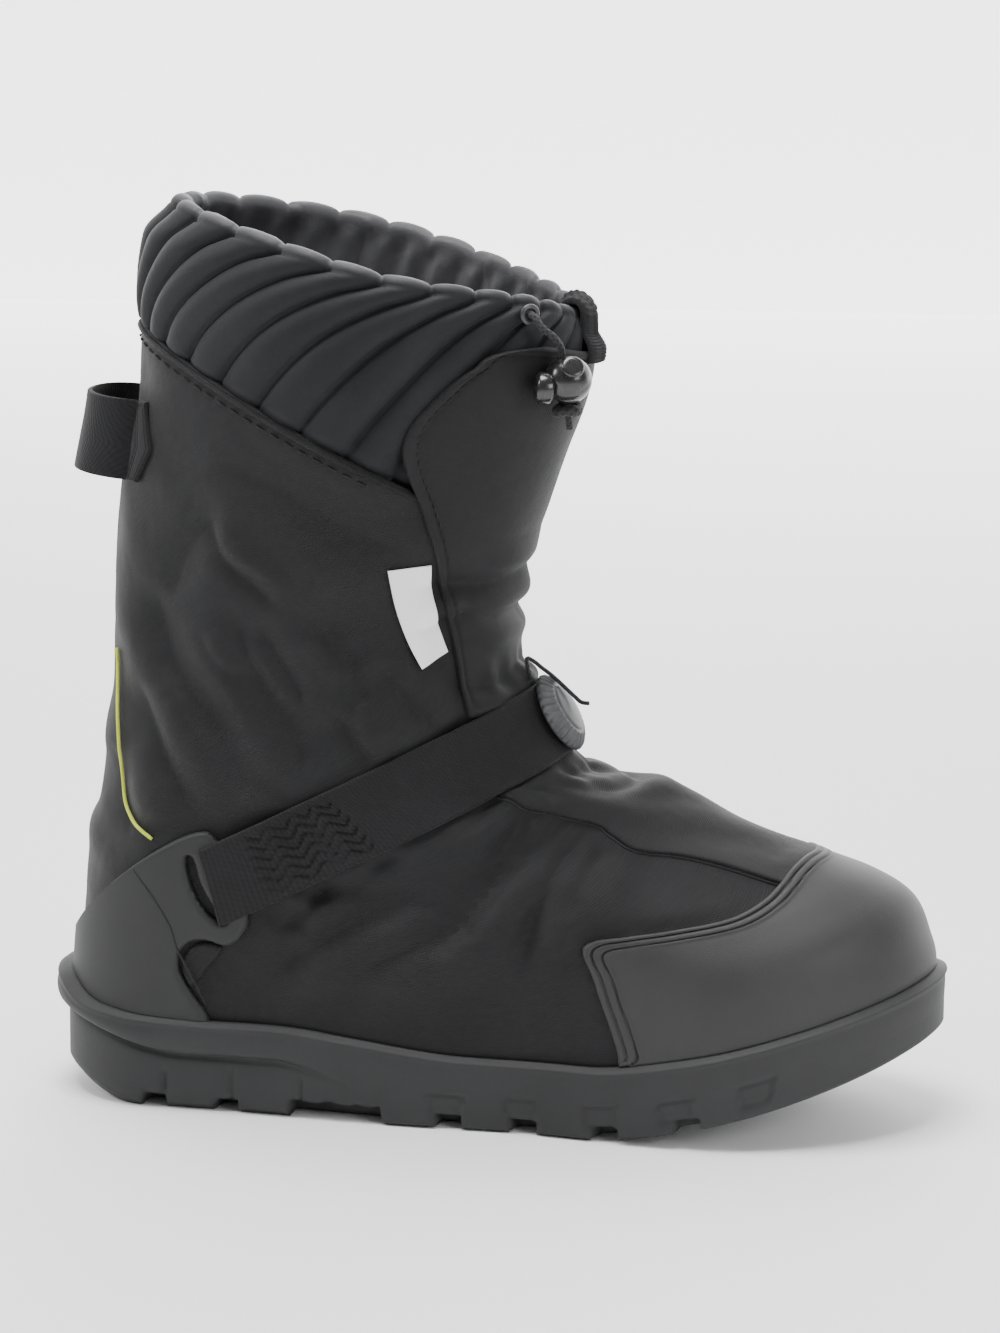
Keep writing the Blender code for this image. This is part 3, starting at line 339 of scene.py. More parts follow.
def outline(u, back_x, front_x, heel, waist, ball, back_round, front_round, swing, bow):
    """A ring from above: x goes as (1 - cos 2 pi u) / 2, y is a half width with elliptic ends."""
    turn = 2 * pi * u
    t = (1 - np.cos(turn)) / 2
    half = heel + (waist - heel) * ease(t, .15, .5) + (ball - waist) * ease(t, .5, .78)
    near_back = np.clip(1 - t / back_round, 0, 1)
    near_front = np.clip(1 - (1 - t) / front_round, 0, 1)
    half = half * np.sqrt(1 - near_back**2) * np.sqrt(1 - near_front**2)
    centre = swing * t**3 - bow * np.sin(pi * t)
    return back_x + (front_x - back_x) * t, centre - np.sign(np.sin(turn)) * half, t


def upper_point(u, v):
    """The outer surface at (u, v): a ring's outline at a height that rises from its back to its front."""
    u, v = np.broadcast_arrays(np.asarray(u, float), np.asarray(v, float))
    row = np.moveaxis(curve_through(KNOTS, SECTIONS, v), -1, 0)
    back_x, back_h, front_x, front_h, heel, waist, ball, back_round, front_round, swing = row
    foot = 1 - ease(v, KNOTS[5], KNOTS[10])
    x, y, t = outline(u, back_x, front_x, heel, waist, ball, back_round, front_round, swing, WAIST_BOW * foot)
    blend = t + (ease(t, 0, 1) - t) * foot
    inner_hump, outer_hump = np.sin(pi * t), t**6 * (1 - t) * 7 * (7 / 6)**6
    hump = RIM_HUMP * ease(v, .80, 1) * np.where(np.sin(2 * pi * u) < 0, inner_hump, outer_hump)
    z = FLOOR_HEIGHT + ground(x) + back_h + (front_h - back_h) * blend + hump
    return np.stack([x, y, z], -1)


def upper_normal(u, v):
    """Outward normal: the cross product of a small step round and a small step up."""
    step = 1e-4
    along = upper_point(u + step, v) - upper_point(u - step, v)
    up = upper_point(u, np.minimum(v + step, 1)) - upper_point(u, np.maximum(v - step, 0))
    return unit(np.cross(along, up))


def upward(u, v, step=.01):
    """The direction up the surface, from a point a step below."""
    return unit(upper_point(u, v) - upper_point(u, v - step))


def on_one_side(u):
    """The share of the way round from the heel to the toe, the same on both sides."""
    return np.minimum(u, 1 - u)


def lifted(u, v, lift):
    """The surface moved out by lift along its normals."""
    u, v, lift = np.broadcast_arrays(np.asarray(u, float), np.asarray(v, float), np.asarray(lift, float))
    return upper_point(u, v) + upper_normal(u, v) * lift[..., None]


def v_where(u, level, tries=np.linspace(0, 1, 501)):
    """The v at which level(point) first grows through zero, read linearly between tries."""
    flat = np.ravel(u)
    values = level(upper_point(flat[:, None], tries[None, :]))
    first = np.argmax(values >= 0, axis=1)
    first = np.where((values >= 0).any(axis=1), first, len(tries) - 1)
    before = np.maximum(first - 1, 0)
    rows = np.arange(len(flat))
    low, high = values[rows, before], values[rows, first]
    share = np.where(high != low, -low / np.where(high != low, high - low, 1), 0)
    return (tries[before] + (tries[first] - tries[before]) * np.clip(share, 0, 1)).reshape(np.shape(u))


def lip_top(x):
    """Height of the top of the sole's lip."""
    table = np.array(WALL_HEIGHTS)
    share = np.clip((x - HEEL_BACK) / SOLE_LENGTH, 0, 1)
    return ground(x) + SIDE_WALL * curve_through(table[:, 0], table[:, 1], share)


FINE_U = np.linspace(0, 1, 721)
LIP_V = v_where(FINE_U, lambda p: p[..., 2] - lip_top(p[..., 0]))


def lip_v(u):
    """The v at which the upper comes out of the sole's lip."""
    return np.interp(np.asarray(u) % 1, FINE_U, LIP_V)


print("surface: climb", round(CLIMB, 3), "m, lip v", LIP_V.min().round(3), "to", LIP_V.max().round(3))

# %% [markdown]
# ## Where the big seams run
# Seams are lines in the shoe's own sizes, seen from the side: the collar's lower seam is a slanted
# plane, the strap runs along another, and the heel counter is an outline with a wing, a notch and a slot.
# The same lines steer the shapes, the fabric's calm places and the stitches.

# %% Lines on the shoe
COLLAR_BACK_HEIGHT, COLLAR_SEAM_SLOPE = .053, -.52
STRAP_WIDTH, STRAP_THICKNESS, STRAP_HEIGHT, STRAP_FROM, STRAP_SLOPE = .030, .0018, .0965, .036, 26.5
STRAP_START = .150
COUNTER_THICKNESS, FLAP_THICKNESS, CAP_THICKNESS = .0022, .0014, .0018
#  metres of surface that u runs over at the heel, at the flap's edge and round the cap
HEEL_SPREAD, FLAP_SPREAD, CAP_SPREAD = .46, .42, .62
SIDES = (("outer", 1), ("inner", -1))

# The counter from the side, in shares of SOLE_LENGTH
COUNTER_OUTLINE = (
    (-.165, .160), (-.128, .178), (-.093, .218), (-.046, .263), (.008, .302), (.046, .320), (.067, .316),
    (.088, .276), (.104, .232), (.099, .208), (.080, .193), (.052, .199), (.030, .189), (.023, .166),
    (.033, .142), (.056, .106), (.060, .060), (-.060, .030), (-.165, .040),
)
SLOT_OUTLINE = ((.035, .292), (.044, .290), (.052, .262), (.066, .238), (.080, .222), (.068, .221),
                (.050, .238), (.038, .266))
TRIM_OUTLINE = ((.0725, .1895), (.052, .1945), (.035, .187), (.0275, .166), (.0365, .143), (.0565, .166))
#  u, v of the cap's upper edge on the outer side, from its rear corner to the front
CAP_EDGE = ((.3035, .165), (.3045, .177), (.3065, .188), (.3105, .197), (.316, .203), (.330, .206),
            (.350, .205), (.384, .203), (.404, .2105), (.424, .222), (.4446, .2325), (.462, .237),
            (.500, .236))
#  v, u of its rear edge, from the lip up to that corner
CAP_REAR = ((.060, .3048), (.097, .3025), (.129, .3007), (.165, .3035))
#  v, u of the flap's edge on the outer side, from under the strap up to its top
FLAP_EDGE = ((.505, .382), (.568, .388), (.682, .360), (.746, .333), (.780, .317), (.806, .309),
             (.836, .310), (.861, .322), (.893, .347), (.914, .378), (.921, .412))
#  v, u of the vamp panel's edge on the outer side, from the cap up to the strap
VAMP_EDGE = ((.214, .430), (.247, .419), (.269, .409), (.291, .395), (.304, .382), (.328, .379), (.345, .378),
             (.357, .364), (.366, .352), (.388, .350), (.432, .367), (.470, .385))


def collar_line(point):
    back_z = SHAFT_HEIGHT - COLLAR_BACK_HEIGHT
    return point[..., 2] - (back_z + COLLAR_SEAM_SLOPE * (point[..., 0] - SECTIONS[-1, 0]))


def strap_level(point):
    """Distance above the strap's middle line, seen from the side."""
    line = STRAP_HEIGHT + np.tan(radians(STRAP_SLOPE)) * (point[..., 0] - STRAP_FROM)
    return (point[..., 2] - line) * cos(radians(STRAP_SLOPE))


COLLAR_V = v_where(FINE_U, collar_line)
CAP_U, CAP_V = (np.array(column) for column in zip(*CAP_EDGE))


def collar_v(u):
    return np.interp(np.asarray(u) % 1, FINE_U, COLLAR_V)


def cap_v(u):
    """The cap's upper edge, with the inner side as the outer one."""
    return curve_through(CAP_U, CAP_V, np.clip(on_one_side(u), CAP_U[0], .5))


def edge_u(table, v):
    vs, us = (np.array(column) for column in zip(*table))
    return curve_through(vs, us, np.clip(v, vs[0], vs[-1]))

# %% Distances from lines and outlines
def smooth_loop(corners, steps):
    """A closed smooth curve through the corners."""
    corners = np.asarray(corners, float)
    count = len(corners)
    wrapped = np.concatenate([corners[-2:], corners, corners[:3]])
    return curve_through(np.arange(-2, count + 3), wrapped, np.arange(count * steps) / steps)


def smooth_path(points, count=None, spacing=None, fine_steps=600):
    """Evenly spaced points on a smooth curve through the given ones: so many, or about so far apart."""
    points = np.asarray(points, float)
    knots = walk(points)
    fine = curve_through(knots, points, np.linspace(0, knots[-1], fine_steps))
    walked = walk(fine)
    count = count or max(round(walked[-1] / spacing) + 1, 3)
    places = np.linspace(0, walked[-1], count)
    return np.stack([np.interp(places, walked, column) for column in fine.T], 1)


def from_path(x, z, path):
    """For each (x, z): signed distance from the path (left of it is +), and the share walked."""
    best = np.full(x.shape, 1e9)
    signed, share = np.zeros(x.shape), np.zeros(x.shape)
    count = len(path) - 1
    for k in range(count):
        (ax, az), (bx, bz) = path[k], path[k + 1]
        dx, dz = bx - ax, bz - az
        s = np.clip(((x - ax) * dx + (z - az) * dz) / (dx * dx + dz * dz), 0, 1)
        gap = np.hypot(x - ax - s * dx, z - az - s * dz)
        closer = gap < best
        best = np.where(closer, gap, best)
        left = np.sign(dx * (z - az) - dz * (x - ax))
        signed = np.where(closer, gap * left, signed)
        share = np.where(closer, (k + s) / count, share)
    return signed, share


def from_outline(x, z, loop):
    """Distance from a closed outline, negative inside."""
    gap, _ = from_path(x, z, np.concatenate([loop, loop[:1]]))
    inside = np.zeros(x.shape, bool)
    for (ax, az), (bx, bz) in zip(loop, np.roll(loop, -1, axis=0)):
        crosses = (az > z) != (bz > z)
        inside ^= crosses & (x < (bx - ax) * (z - az) / np.where(bz != az, bz - az, 1) + ax)
    return np.where(inside, -np.abs(gap), np.abs(gap))


COUNTER_LOOP = smooth_loop(np.array(COUNTER_OUTLINE) * SOLE_LENGTH, 6)
SLOT_LOOP = smooth_loop(np.array(SLOT_OUTLINE) * SOLE_LENGTH, 4)

# %% [markdown]
# ## Folds
# The nylon is soft and its folds make half of its look. Each fold is given as a path in
# millimetres, seen from the side, with a depth and a width: a trough, and a softer ridge on one side.
# The folds are summed once on a fine grid over (u, v), and every fabric piece reads that grid, so a
# flap or a panel rides over the same folds as the cloth under it.

# %% Creases, listed one by one
#  depth, width, side of the ridge (+1 left of the path), points (x, z) along it, all in mm
SIDE_CREASES = (
    (1.7, 8, -1, ((-2, 206), (3, 184), (12, 165), (24, 153), (38, 148))),
    (2.1, 7, -1, ((30, 200), (36, 182), (45, 163), (55, 148), (58, 126))),
    (1.6, 8, 1, ((-9, 170), (-2, 150), (8, 129), (20, 112))),
    (1.4, 11, -1, ((22, 254), (50, 243), (78, 228), (100, 217))),
    (1.1, 9, 1, ((30, 236), (14, 219), (5, 196))),
    (1.4, 6, 1, ((84, 178), (95, 164), (110, 150))),
    (1.6, 5, 1, ((70, 158), (77, 147), (84, 138))),
    (1.0, 9, -1, ((62, 200), (74, 180), (82, 158))),
    (2.3, 7, 1, ((157, 121), (146, 109), (133, 98), (114, 78), (104, 62))),
    (2.0, 6, 1, ((165, 116), (153, 99), (145, 80), (141, 60))),
    (1.5, 6, 1, ((172, 110), (163, 96), (159, 80))),
    (1.7, 6, 1, ((70, 98), (61, 86), (46, 72))),
    (2.0, 8, 1, ((108, 96), (84, 83), (58, 66), (42, 54))),
    (1.7, 8, 1, ((134, 98), (112, 78), (84, 62), (70, 54))),
    (1.2, 7, -1, ((92, 112), (84, 98), (70, 84))),
    (1.2, 8, 1, ((-24, 140), (-16, 118), (-12, 104))),
    (1.1, 4, 1, ((21, 233), (28, 217), (40, 207), (52, 197))),
    (1.3, 4, -1, ((40, 193), (49, 179), (56, 168), (60, 158))),
    (.9, 3, 1, ((100, 189), (109, 193), (119, 197))),
    (.9, 4, 1, ((80, 174), (72, 184), (66, 195))),
    (1.3, 4, 1, ((117, 158), (111, 144), (98, 128), (87, 117))),
    (1.3, 4, 1, ((143, 128), (135, 107), (119, 90), (108, 79))),
    (1.0, 4, -1, ((45, 112), (56, 96), (72, 85))),
    (1.0, 4, 1, ((130, 150), (132, 136), (124, 120), (112, 108))),
    (.8, 3, -1, ((92, 90), (110, 84), (128, 72))),
    (.8, 4, 1, ((18, 190), (26, 176), (40, 168))),
)
#  how much deeper the folds are than the tables say, and the limit that they ease into, in metres
SLACK, DEEPEST = 2.6, .0042
#  depth and width in mm, u from and to, v at the middle, rise of v from the middle outwards
FRONT_CREASES = (
    (1.5, 6, .33, .64, .664, -.010),
    (1.3, 5, .38, .62, .612, .012),
    (1.9, 6, .36, .66, .548, -.016),
    (1.2, 6, .40, .60, .705, .008),
    (1.3, 5, .40, .60, .425, .030),
    (1.0, 4, .42, .58, .385, .022),
)


def fold(gap, depth, width, lean):
    """A pointed trough of that depth, with a round ridge nearly two widths to one side."""
    trough = -np.exp(-(np.abs(gap) / (.85 * width))**1.15)
    ridge = .75 * bell(gap, lean * 1.7 * width, 1.2 * width)
    return SLACK * depth * (trough + ridge)


def side_fold(point, facing, sign, shift, depth, width, lean, points):
    """One crease on the side where y has the given sign, fading where the surface turns away."""
    path = smooth_path(np.array(points, float) / 1000 + shift, 18)
    depth, width = depth / 1000, width / 1000
    x, z = point[..., 0], point[..., 2]
    (low_x, low_z), (high_x, high_z) = path.min(0) - 5 * width, path.max(0) + 5 * width
    near = (x > low_x) & (x < high_x) & (z > low_z) & (z < high_z) & (facing * sign > .05)
    gap, share = from_path(x[near], z[near], path)
    fade = ease(share, -.02, .25) * (1 - ease(share, .72, 1.02))
    result = np.zeros(x.shape)
    result[near] = fold(gap, depth, width, lean) * fade * ease(facing[near] * sign, .1, .5)
    return result


def front_fold(u, v, depth, width, start, end, level, rise):
    """One crease across the front, a little bent and uneven."""
    bent = level + rise * np.abs(u - .5) * 8 + .004 * np.sin(40 * u)
    gap = (v - bent) * CLIMB
    fade = ease(u, start, start + .06) * (1 - ease(u, end - .06, end))
    return fold(gap, depth / 1000, width / 1000, -1) * fade

# %% Sum the folds on a grid
GRID_COLS, GRID_ROWS = 840, 420
#  half the pressed band's width with its soft border, and the cloth's ridge beside the strap
PRESSED, PRESSED_DEPTH = (.0125, .019), .0007
RIDGE_AWAY, RIDGE_WIDTH, RIDGE_HEIGHT = .0230, .0065, .0021
GRID_U, GRID_V = np.meshgrid(np.linspace(0, 1, GRID_COLS + 1), np.linspace(0, 1, GRID_ROWS + 1))
grid_point = upper_point(GRID_U, GRID_V)
grid_facing = upper_normal(GRID_U, GRID_V)[..., 1]

relief = np.zeros(GRID_U.shape)
for crease in SIDE_CREASES:
    relief += side_fold(grid_point, grid_facing, -1, np.array((0, 0)), *crease)
    relief += side_fold(grid_point, grid_facing, 1, np.array((.004, .003)), *crease)
for crease in FRONT_CREASES:
    relief += front_fold(GRID_U, GRID_V, *crease)


def swell(a, b, c, d):
    """A slow wave over the surface."""
    return np.sin(2 * pi * (a * GRID_U + b * GRID_V) + c) * np.sin(2 * pi * d * GRID_V + c * 1.7)


relief += .0012 * swell(3, 2.1, .6, 2.3) + .0009 * swell(5, -3.3, 1.9, 3.1) + .0005 * swell(11, 4.7, .3, 5.9)

level = strap_level(grid_point)
side_u = on_one_side(GRID_U)
strap_side = ease(side_u, .15, .20)
pressed = (1 - ease(np.abs(level), *PRESSED)) * strap_side
pucker = 1 + .45 * np.sin(2 * pi * 17 * GRID_U + .8) + .25 * np.sin(2 * pi * 31 * GRID_U)
relief *= 1 - .85 * pressed
relief += (-PRESSED_DEPTH * pressed
           + RIDGE_HEIGHT * bell(np.abs(level), RIDGE_AWAY, RIDGE_WIDTH) * strap_side * pucker)

counter_gap = from_outline(grid_point[..., 0], grid_point[..., 2], COUNTER_LOOP)
calm = ease(counter_gap, -.001, .010)
calm *= np.maximum(ease(GRID_V - cap_v(GRID_U), -.004, .022), 1 - ease(side_u, CAP_U[0] - .03, CAP_U[0]))
calm *= ease(GRID_V - lip_v(GRID_U), 0, .035)
calm *= 1 - .8 * ease(GRID_V - collar_v(GRID_U), -.035, -.004)
relief = DEEPEST * np.tanh(relief * calm / DEEPEST)
print("folds: from", (relief.min() * 1000).round(2), "to", (relief.max() * 1000).round(2), "mm")


def relief_at(u, v):
    """The summed folds at (u, v), between grid points in proportion."""
    cols, rows = (np.asarray(u) % 1) * GRID_COLS, np.clip(v, 0, 1) * GRID_ROWS
    j, i = np.minimum(cols.astype(int), GRID_COLS - 1), np.minimum(rows.astype(int), GRID_ROWS - 1)
    a, b = cols - j, rows - i
    return (relief[i, j] * (1 - a) * (1 - b) + relief[i, j + 1] * a * (1 - b)
            + relief[i + 1, j] * (1 - a) * b + relief[i + 1, j + 1] * a * b)


def skin(u, v, lift, soft=1.0):
    """The surface with its folds, moved out by lift."""
    u, v, lift = np.broadcast_arrays(np.asarray(u, float), np.asarray(v, float), np.asarray(lift, float))
    return lifted(u, v, lift + soft * relief_at(u, v))

# %% [markdown]
# ## From grids to meshes
# A piece is an array of points. Quads join neighbours, and a ring closes a side on itself. A thin
# piece is a closed pillow: its outer face rounds down to its back at the edges.

# %% Mesh makers
def new_piece(name, points, faces, finish, uv=None, fields=None):
    """One mesh object at the origin from points (n, 3) and quads (m, 4)."""
    points = np.ascontiguousarray(points, dtype=np.float32).reshape(-1, 3)
    faces = np.ascontiguousarray(faces, dtype=np.int32)
    mesh = bpy.data.meshes.new(name)
    mesh.vertices.add(len(points))
    mesh.vertices.foreach_set("co", points.ravel())
    mesh.loops.add(faces.size)
    mesh.loops.foreach_set("vertex_index", faces.ravel())
    mesh.polygons.add(len(faces))
    mesh.polygons.foreach_set("loop_start", np.arange(len(faces), dtype=np.int32) * 4)
    mesh.polygons.foreach_set("use_smooth", np.ones(len(faces), bool))
    mesh.update(calc_edges=True)
    if uv is not None:
        layer = mesh.uv_layers.new(name="UVMap")
        layer.data.foreach_set("uv", np.ascontiguousarray(uv, dtype=np.float32).ravel())
    for key, values in (fields or {}).items():
        attribute = mesh.attributes.new(key, "FLOAT", "POINT")
        attribute.data.foreach_set("value", np.ascontiguousarray(values, dtype=np.float32).ravel())
    mesh.materials.append(finish.material)
    return add_object(name, mesh)


def quads(rows, cols, ring_rows=False, ring_cols=False):
    """Quads over a grid, and each corner's (row, column) counted on past a ring's seam."""
    i, j = np.meshgrid(np.arange(rows - (not ring_rows)), np.arange(cols - (not ring_cols)), indexing="ij")
    corner_rows = np.stack([i, i, i + 1, i + 1], -1).reshape(-1, 4)
    corner_cols = np.stack([j, j + 1, j + 1, j], -1).reshape(-1, 4)
    return (corner_rows % rows) * cols + corner_cols % cols, corner_rows, corner_cols


def wear(piece, slot, *nodes):
    """The piece rides on the shoe's one body and stands for the nodes; slot is not used."""
    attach(piece, "root")
    if nodes:
        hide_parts(*nodes)
    print(piece.name, "triangles", sum(len(p.vertices) - 2 for p in piece.data.polygons))
    return piece


def shares(length, step, rim):
    """Shares from 0 to 1 in even steps, and closer ones within rim of both ends."""
    rim_share = min(rim / length, .25)
    inner = np.linspace(rim_share, 1 - rim_share, max(int((length - 2 * rim) / step), 3))
    ends = rim_share * np.array([0, .07, .28, .6])
    return np.concatenate([ends, inner, 1 - ends[::-1]])


def edge_gap(a, b, long, wide):
    """Distance from the nearest edge of a patch that is so long and so wide."""
    return np.minimum(np.minimum(a, 1 - a) * long, np.minimum(b, 1 - b) * wide)


def pillow(name, finish, place, long, wide, low, thickness, step=.0016, rim=.0012, soft=1.0, raise_by=None):
    """A closed thin piece: place(a, b) gives u and v, and a quarter circle rounds the outer face's edge."""
    a, b = np.meshgrid(shares(long, step, rim), shares(wide, step, rim))
    u, v = place(a, b)
    edge = edge_gap(a, b, long, wide)
    rounded = quarter_round(edge, rim)
    base = low(u, v) if callable(low) else low
    lift = base + thickness * rounded
    if raise_by is not None:
        lift = lift + raise_by(a, b, edge) * rounded
    outer, inner = skin(u, v, lift, soft), skin(u, v, base - .0002, soft)
    return closed_pair(name, finish, outer, inner, a * long, b * wide)


def closed_pair(name, finish, outer, inner, run, climb, fields=None):
    """Outer and inner grids of one size, joined round their edge."""
    rows, cols = outer.shape[:2]
    count = rows * cols
    face, _, _ = quads(rows, cols)
    rim = np.concatenate([np.arange(cols), np.arange(1, rows) * cols + cols - 1,
                          (rows - 1) * cols + np.arange(cols - 2, -1, -1), np.arange(rows - 2, 0, -1) * cols])
    after = np.roll(rim, -1)
    walls = np.stack([rim, rim + count, after + count, after], -1)
    faces = np.concatenate([face, face[:, ::-1] + count, walls])
    uv = np.stack([np.tile(np.ravel(run), 2)[faces], np.tile(np.ravel(climb), 2)[faces]], -1)
    both = {key: np.tile(np.ravel(values), 2) for key, values in (fields or {}).items()}
    points = np.concatenate([outer.reshape(-1, 3), inner.reshape(-1, 3)])
    return new_piece(name, points, faces, finish, uv, both)


def clean(piece, gap=0, outwards=True):
    """Merges points closer than gap, which closes poles and middle lines, and turns faces outwards."""
    mesh = bmesh.new()
    mesh.from_mesh(piece.data)
    if gap:
        bmesh.ops.remove_doubles(mesh, verts=mesh.verts, dist=gap)
        bmesh.ops.dissolve_degenerate(mesh, edges=mesh.edges, dist=1e-7)
    if outwards:
        bmesh.ops.recalc_face_normals(mesh, faces=mesh.faces)
    mesh.to_mesh(piece.data)
    mesh.free()

# %% [markdown]
# ## Finishes
# Coated nylon has a fine plain weave and a soft, slightly uneven sheen. The weave is two crossed sine
# waves on the piece's own map, so it follows the cloth. Rubber has moulding grain and pale dust.
# Webbing is ribbed, plastic nearly smooth. Constants sit on the shader's own sockets.

# %% Woven cloth
def woven(name, dark, light, pitch, depth, roughness, sheen=.045, crinkle=.00035, dents=0):
    """Plain weave of the given pitch in metres, over cloudy colour, fine crinkles and soft dents."""
    finish = Finish(name, roughness, Sheen_Weight=sheen, Sheen_Roughness=.5, Specular_IOR_Level=.24)
    run, climb = finish.along()
    warp = (run * (2 * pi / pitch)).wave()
    weft = (climb * (2 * pi / pitch)).wave()
    weave = (warp * weft) * .5 + .5
    cloud = finish.noise(18, 4, .6)
    fine = finish.noise(420, 2, .6)
    shade = (cloud * .65 + fine * .2 + weave * .15).ease(.25, .75)
    finish.feed("Base Color", finish.colour(dark, light, shade))
    finish.feed("Roughness", roughness - .07 + cloud * .14)
    if dents:
        finish.bump(finish.noise(26, 3, .5), dents)
    finish.bump(finish.noise(95, 4, .55), crinkle)
    finish.bump(weave, depth)
    return finish


nylon = woven("nylon_shaft", (.0054, .0054, .0061), (.0112, .0110, .0124), .0011, .00012, .60, dents=.0026)
flap_nylon = woven("nylon_flap", (.0046, .0046, .0053), (.0092, .0090, .0104), .0011, .00012, .58,
                   dents=.0016)
label_cloth = woven("label_cloth", (.86, .88, .86), (.95, .96, .94), .0006, .00006, .7, .05, .0002)

# %% Quilted cloth: outside dark and velvety, inside the lighter lining, with painted shade in the valleys
quilt_cloth = Finish("quilted_cloth", .66, Sheen_Weight=.10, Sheen_Roughness=.4, Specular_IOR_Level=.25)
inside, valley = quilt_cloth.field("inside"), quilt_cloth.field("valley")
cloud = quilt_cloth.noise(16, 4, .6)
outer_tone = quilt_cloth.colour((.0066, .0068, .0084), (.0122, .0126, .0150), cloud.ease(.3, .7))
lining_tone = quilt_cloth.colour((.040, .040, .043), (.068, .068, .072), cloud.ease(.3, .7))
tone = quilt_cloth.colour(outer_tone, lining_tone, inside)
# Painted shade: the valleys between the rolls are blended towards a near-black colour.
quilt_cloth.feed("Base Color", quilt_cloth.colour(tone, (.0045, .0045, .0052), (valley ** 6).ease(.25, 1.0)))
quilt_cloth.feed("Roughness", .60 + cloud * .12 - inside * .14)
quilt_cloth.bump(quilt_cloth.noise(110, 4, .6), .0003)
quilt_cloth.bump(quilt_cloth.noise(900, 2, .6), .00010)

# %% Webbing and cords
def webbing(name, dark, light, rib, roughness=.78):
    """Ribs across the run, a fine herringbone on them, and a fuzzy nap."""
    finish = Finish(name, roughness, Sheen_Weight=.05, Specular_IOR_Level=.22)
    run, climb = finish.along()
    ribs = (run * (2 * pi / rib)).wave() * .5 + .5
    bone = ((climb + run) * (2 * pi / (rib * 1.7))).wave() * .5 + .5
    cloud = finish.noise(30, 4, .6)
    finish.feed("Base Color", finish.colour(dark, light, (cloud * .6 + ribs * .25 + bone * .15).ease(.2, .8)))
    finish.bump(finish.noise(600, 2, .6), .00008)
    finish.bump(ribs * .7 + bone * .3, .00016)
    return finish


strap_webbing = webbing("strap_webbing", (.0065, .0060, .0068), (.0125, .0115, .0130), .0013)
loop_webbing = webbing("loop_webbing", (.0075, .0075, .0084), (.0140, .0140, .0155), .0014)
tab_webbing = webbing("tab_webbing", (.0085, .0085, .0095), (.0190, .0190, .0205), .0016, .9)


def braid(name, dark, light, pitch):
    """Two families of slanted ridges on the tube's own map, run along and turn round."""
    finish = Finish(name, .7, Sheen_Weight=.05, Specular_IOR_Level=.3)
    run, turn = finish.along()
    one = (run * (2 * pi / pitch) + turn * (2 * pi * 4)).wave()
    other = (run * (2 * pi / pitch) - turn * (2 * pi * 4)).wave()
    ridge = one.maths("MAXIMUM", one, other) * .5 + .5
    finish.feed("Base Color", finish.colour(dark, light, ridge))
    finish.bump(ridge, .00025)
    return finish


cord_braid = braid("cord_braid", (.0070, .0070, .0075), (.0260, .0260, .0280), .0022)
thread = Finish("thread_dark", .8)
thread.feed("Base Color", thread.colour((.003, .003, .0035), (.007, .007, .008), thread.noise(900)))
piping_cloth = woven("piping_cloth", (.50, .57, .04), (.68, .76, .09), .0006, .00006, .5, .05, .0001)

# %% Rubber and plastic
def rubber(name, dark, light, roughness, grain, depth, groove=False):
    """Moulded rubber: cloudy colour, a fine grain, pale dust in the hollows of a larger noise, and with
    groove painted shade in the grooves.
    """
    finish = Finish(name, roughness, Specular_IOR_Level=.38)
    cloud, dust, pits = finish.noise(12, 5, .6), finish.noise(55, 5, .7), finish.noise(grain, 3, .6)
    shade = (cloud * .55 + dust * .35 + pits * .1).ease(.28, .72)
    tone = finish.colour(dark, light, shade)
    if groove:
        # Painted shade: the grooves are blended to a quarter of the dark tone.
        line = finish.field("groove")
        tone = finish.colour(tone, tuple(c * .25 for c in dark), line)
    finish.feed("Base Color", tone)
    finish.feed("Roughness", roughness - .08 + dust * .16)
    finish.bump(dust, .00012)
    finish.bump(pits, depth)
    if groove:
        finish.bump(1 - line, .0006)
    return finish


sole_rubber = rubber("sole_rubber", (.0140, .0143, .0152), (.0240, .0244, .0256), .62, 700, .00010)
cap_rubber = rubber("cap_rubber", (.0190, .0190, .0196), (.0280, .0280, .0287), .52, 1500, .00009, True)
counter_rubber = rubber("counter_rubber", (.0125, .0128, .0135), (.0200, .0204, .0213), .58, 1300, .00006)


def plastic(name, dark, light, roughness, coat):
    finish = Finish(name, roughness, Coat_Weight=coat, Coat_Roughness=.12)
    cloud, scuff = finish.noise(60, 4, .6), finish.noise(300, 3, .7, stretch=(1, 4, 1))
    finish.feed("Base Color", finish.colour(dark, light, (cloud * .6 + scuff * .4).ease(.3, .7)))
    finish.feed("Roughness", roughness - .05 + scuff * .12)
    finish.bump(scuff, .00003)
    return finish


dial_plastic = plastic("dial_plastic", (.032, .034, .036), (.062, .064, .068), .48, .1)
black_plastic = plastic("black_plastic", (.006, .006, .0065), (.012, .012, .0125), .26, .35)
eyelet_plastic = plastic("eyelet_plastic", (.016, .016, .0175), (.030, .030, .032), .35, .3)

# %% [markdown]
# ## The sole
# One closed skin makes the sole: rings up its side from the ground to the lip, then down inside to the
# floor, and rings shrinking to the middle line underneath. The side's shape comes from the packed
# model's own table of rings. Grooves lift the underside and bite into the side, and shallow frames
# surround the forefoot's grooves, as in the photograph.

# %% The sole's outline and grooves
#  outset at the heel, at the forefoot (shares of LEDGE_REACH), share below the ledge, share above, inset
SIDE_RINGS = np.array((
    (-.45, 0, 0, 0, .0030), (-.40, 0, .14, 0, .0), (-.45, 0, .88, 0, .0), (-.60, 0, 1.0, 0, .0),
    (.40, .02, 1.0, .14, .0), (.64, .06, 1.0, .50, .0), (.34, .02, 1.0, .90, .0), (.08, -.20, 1.0, 1.0, .0),
))
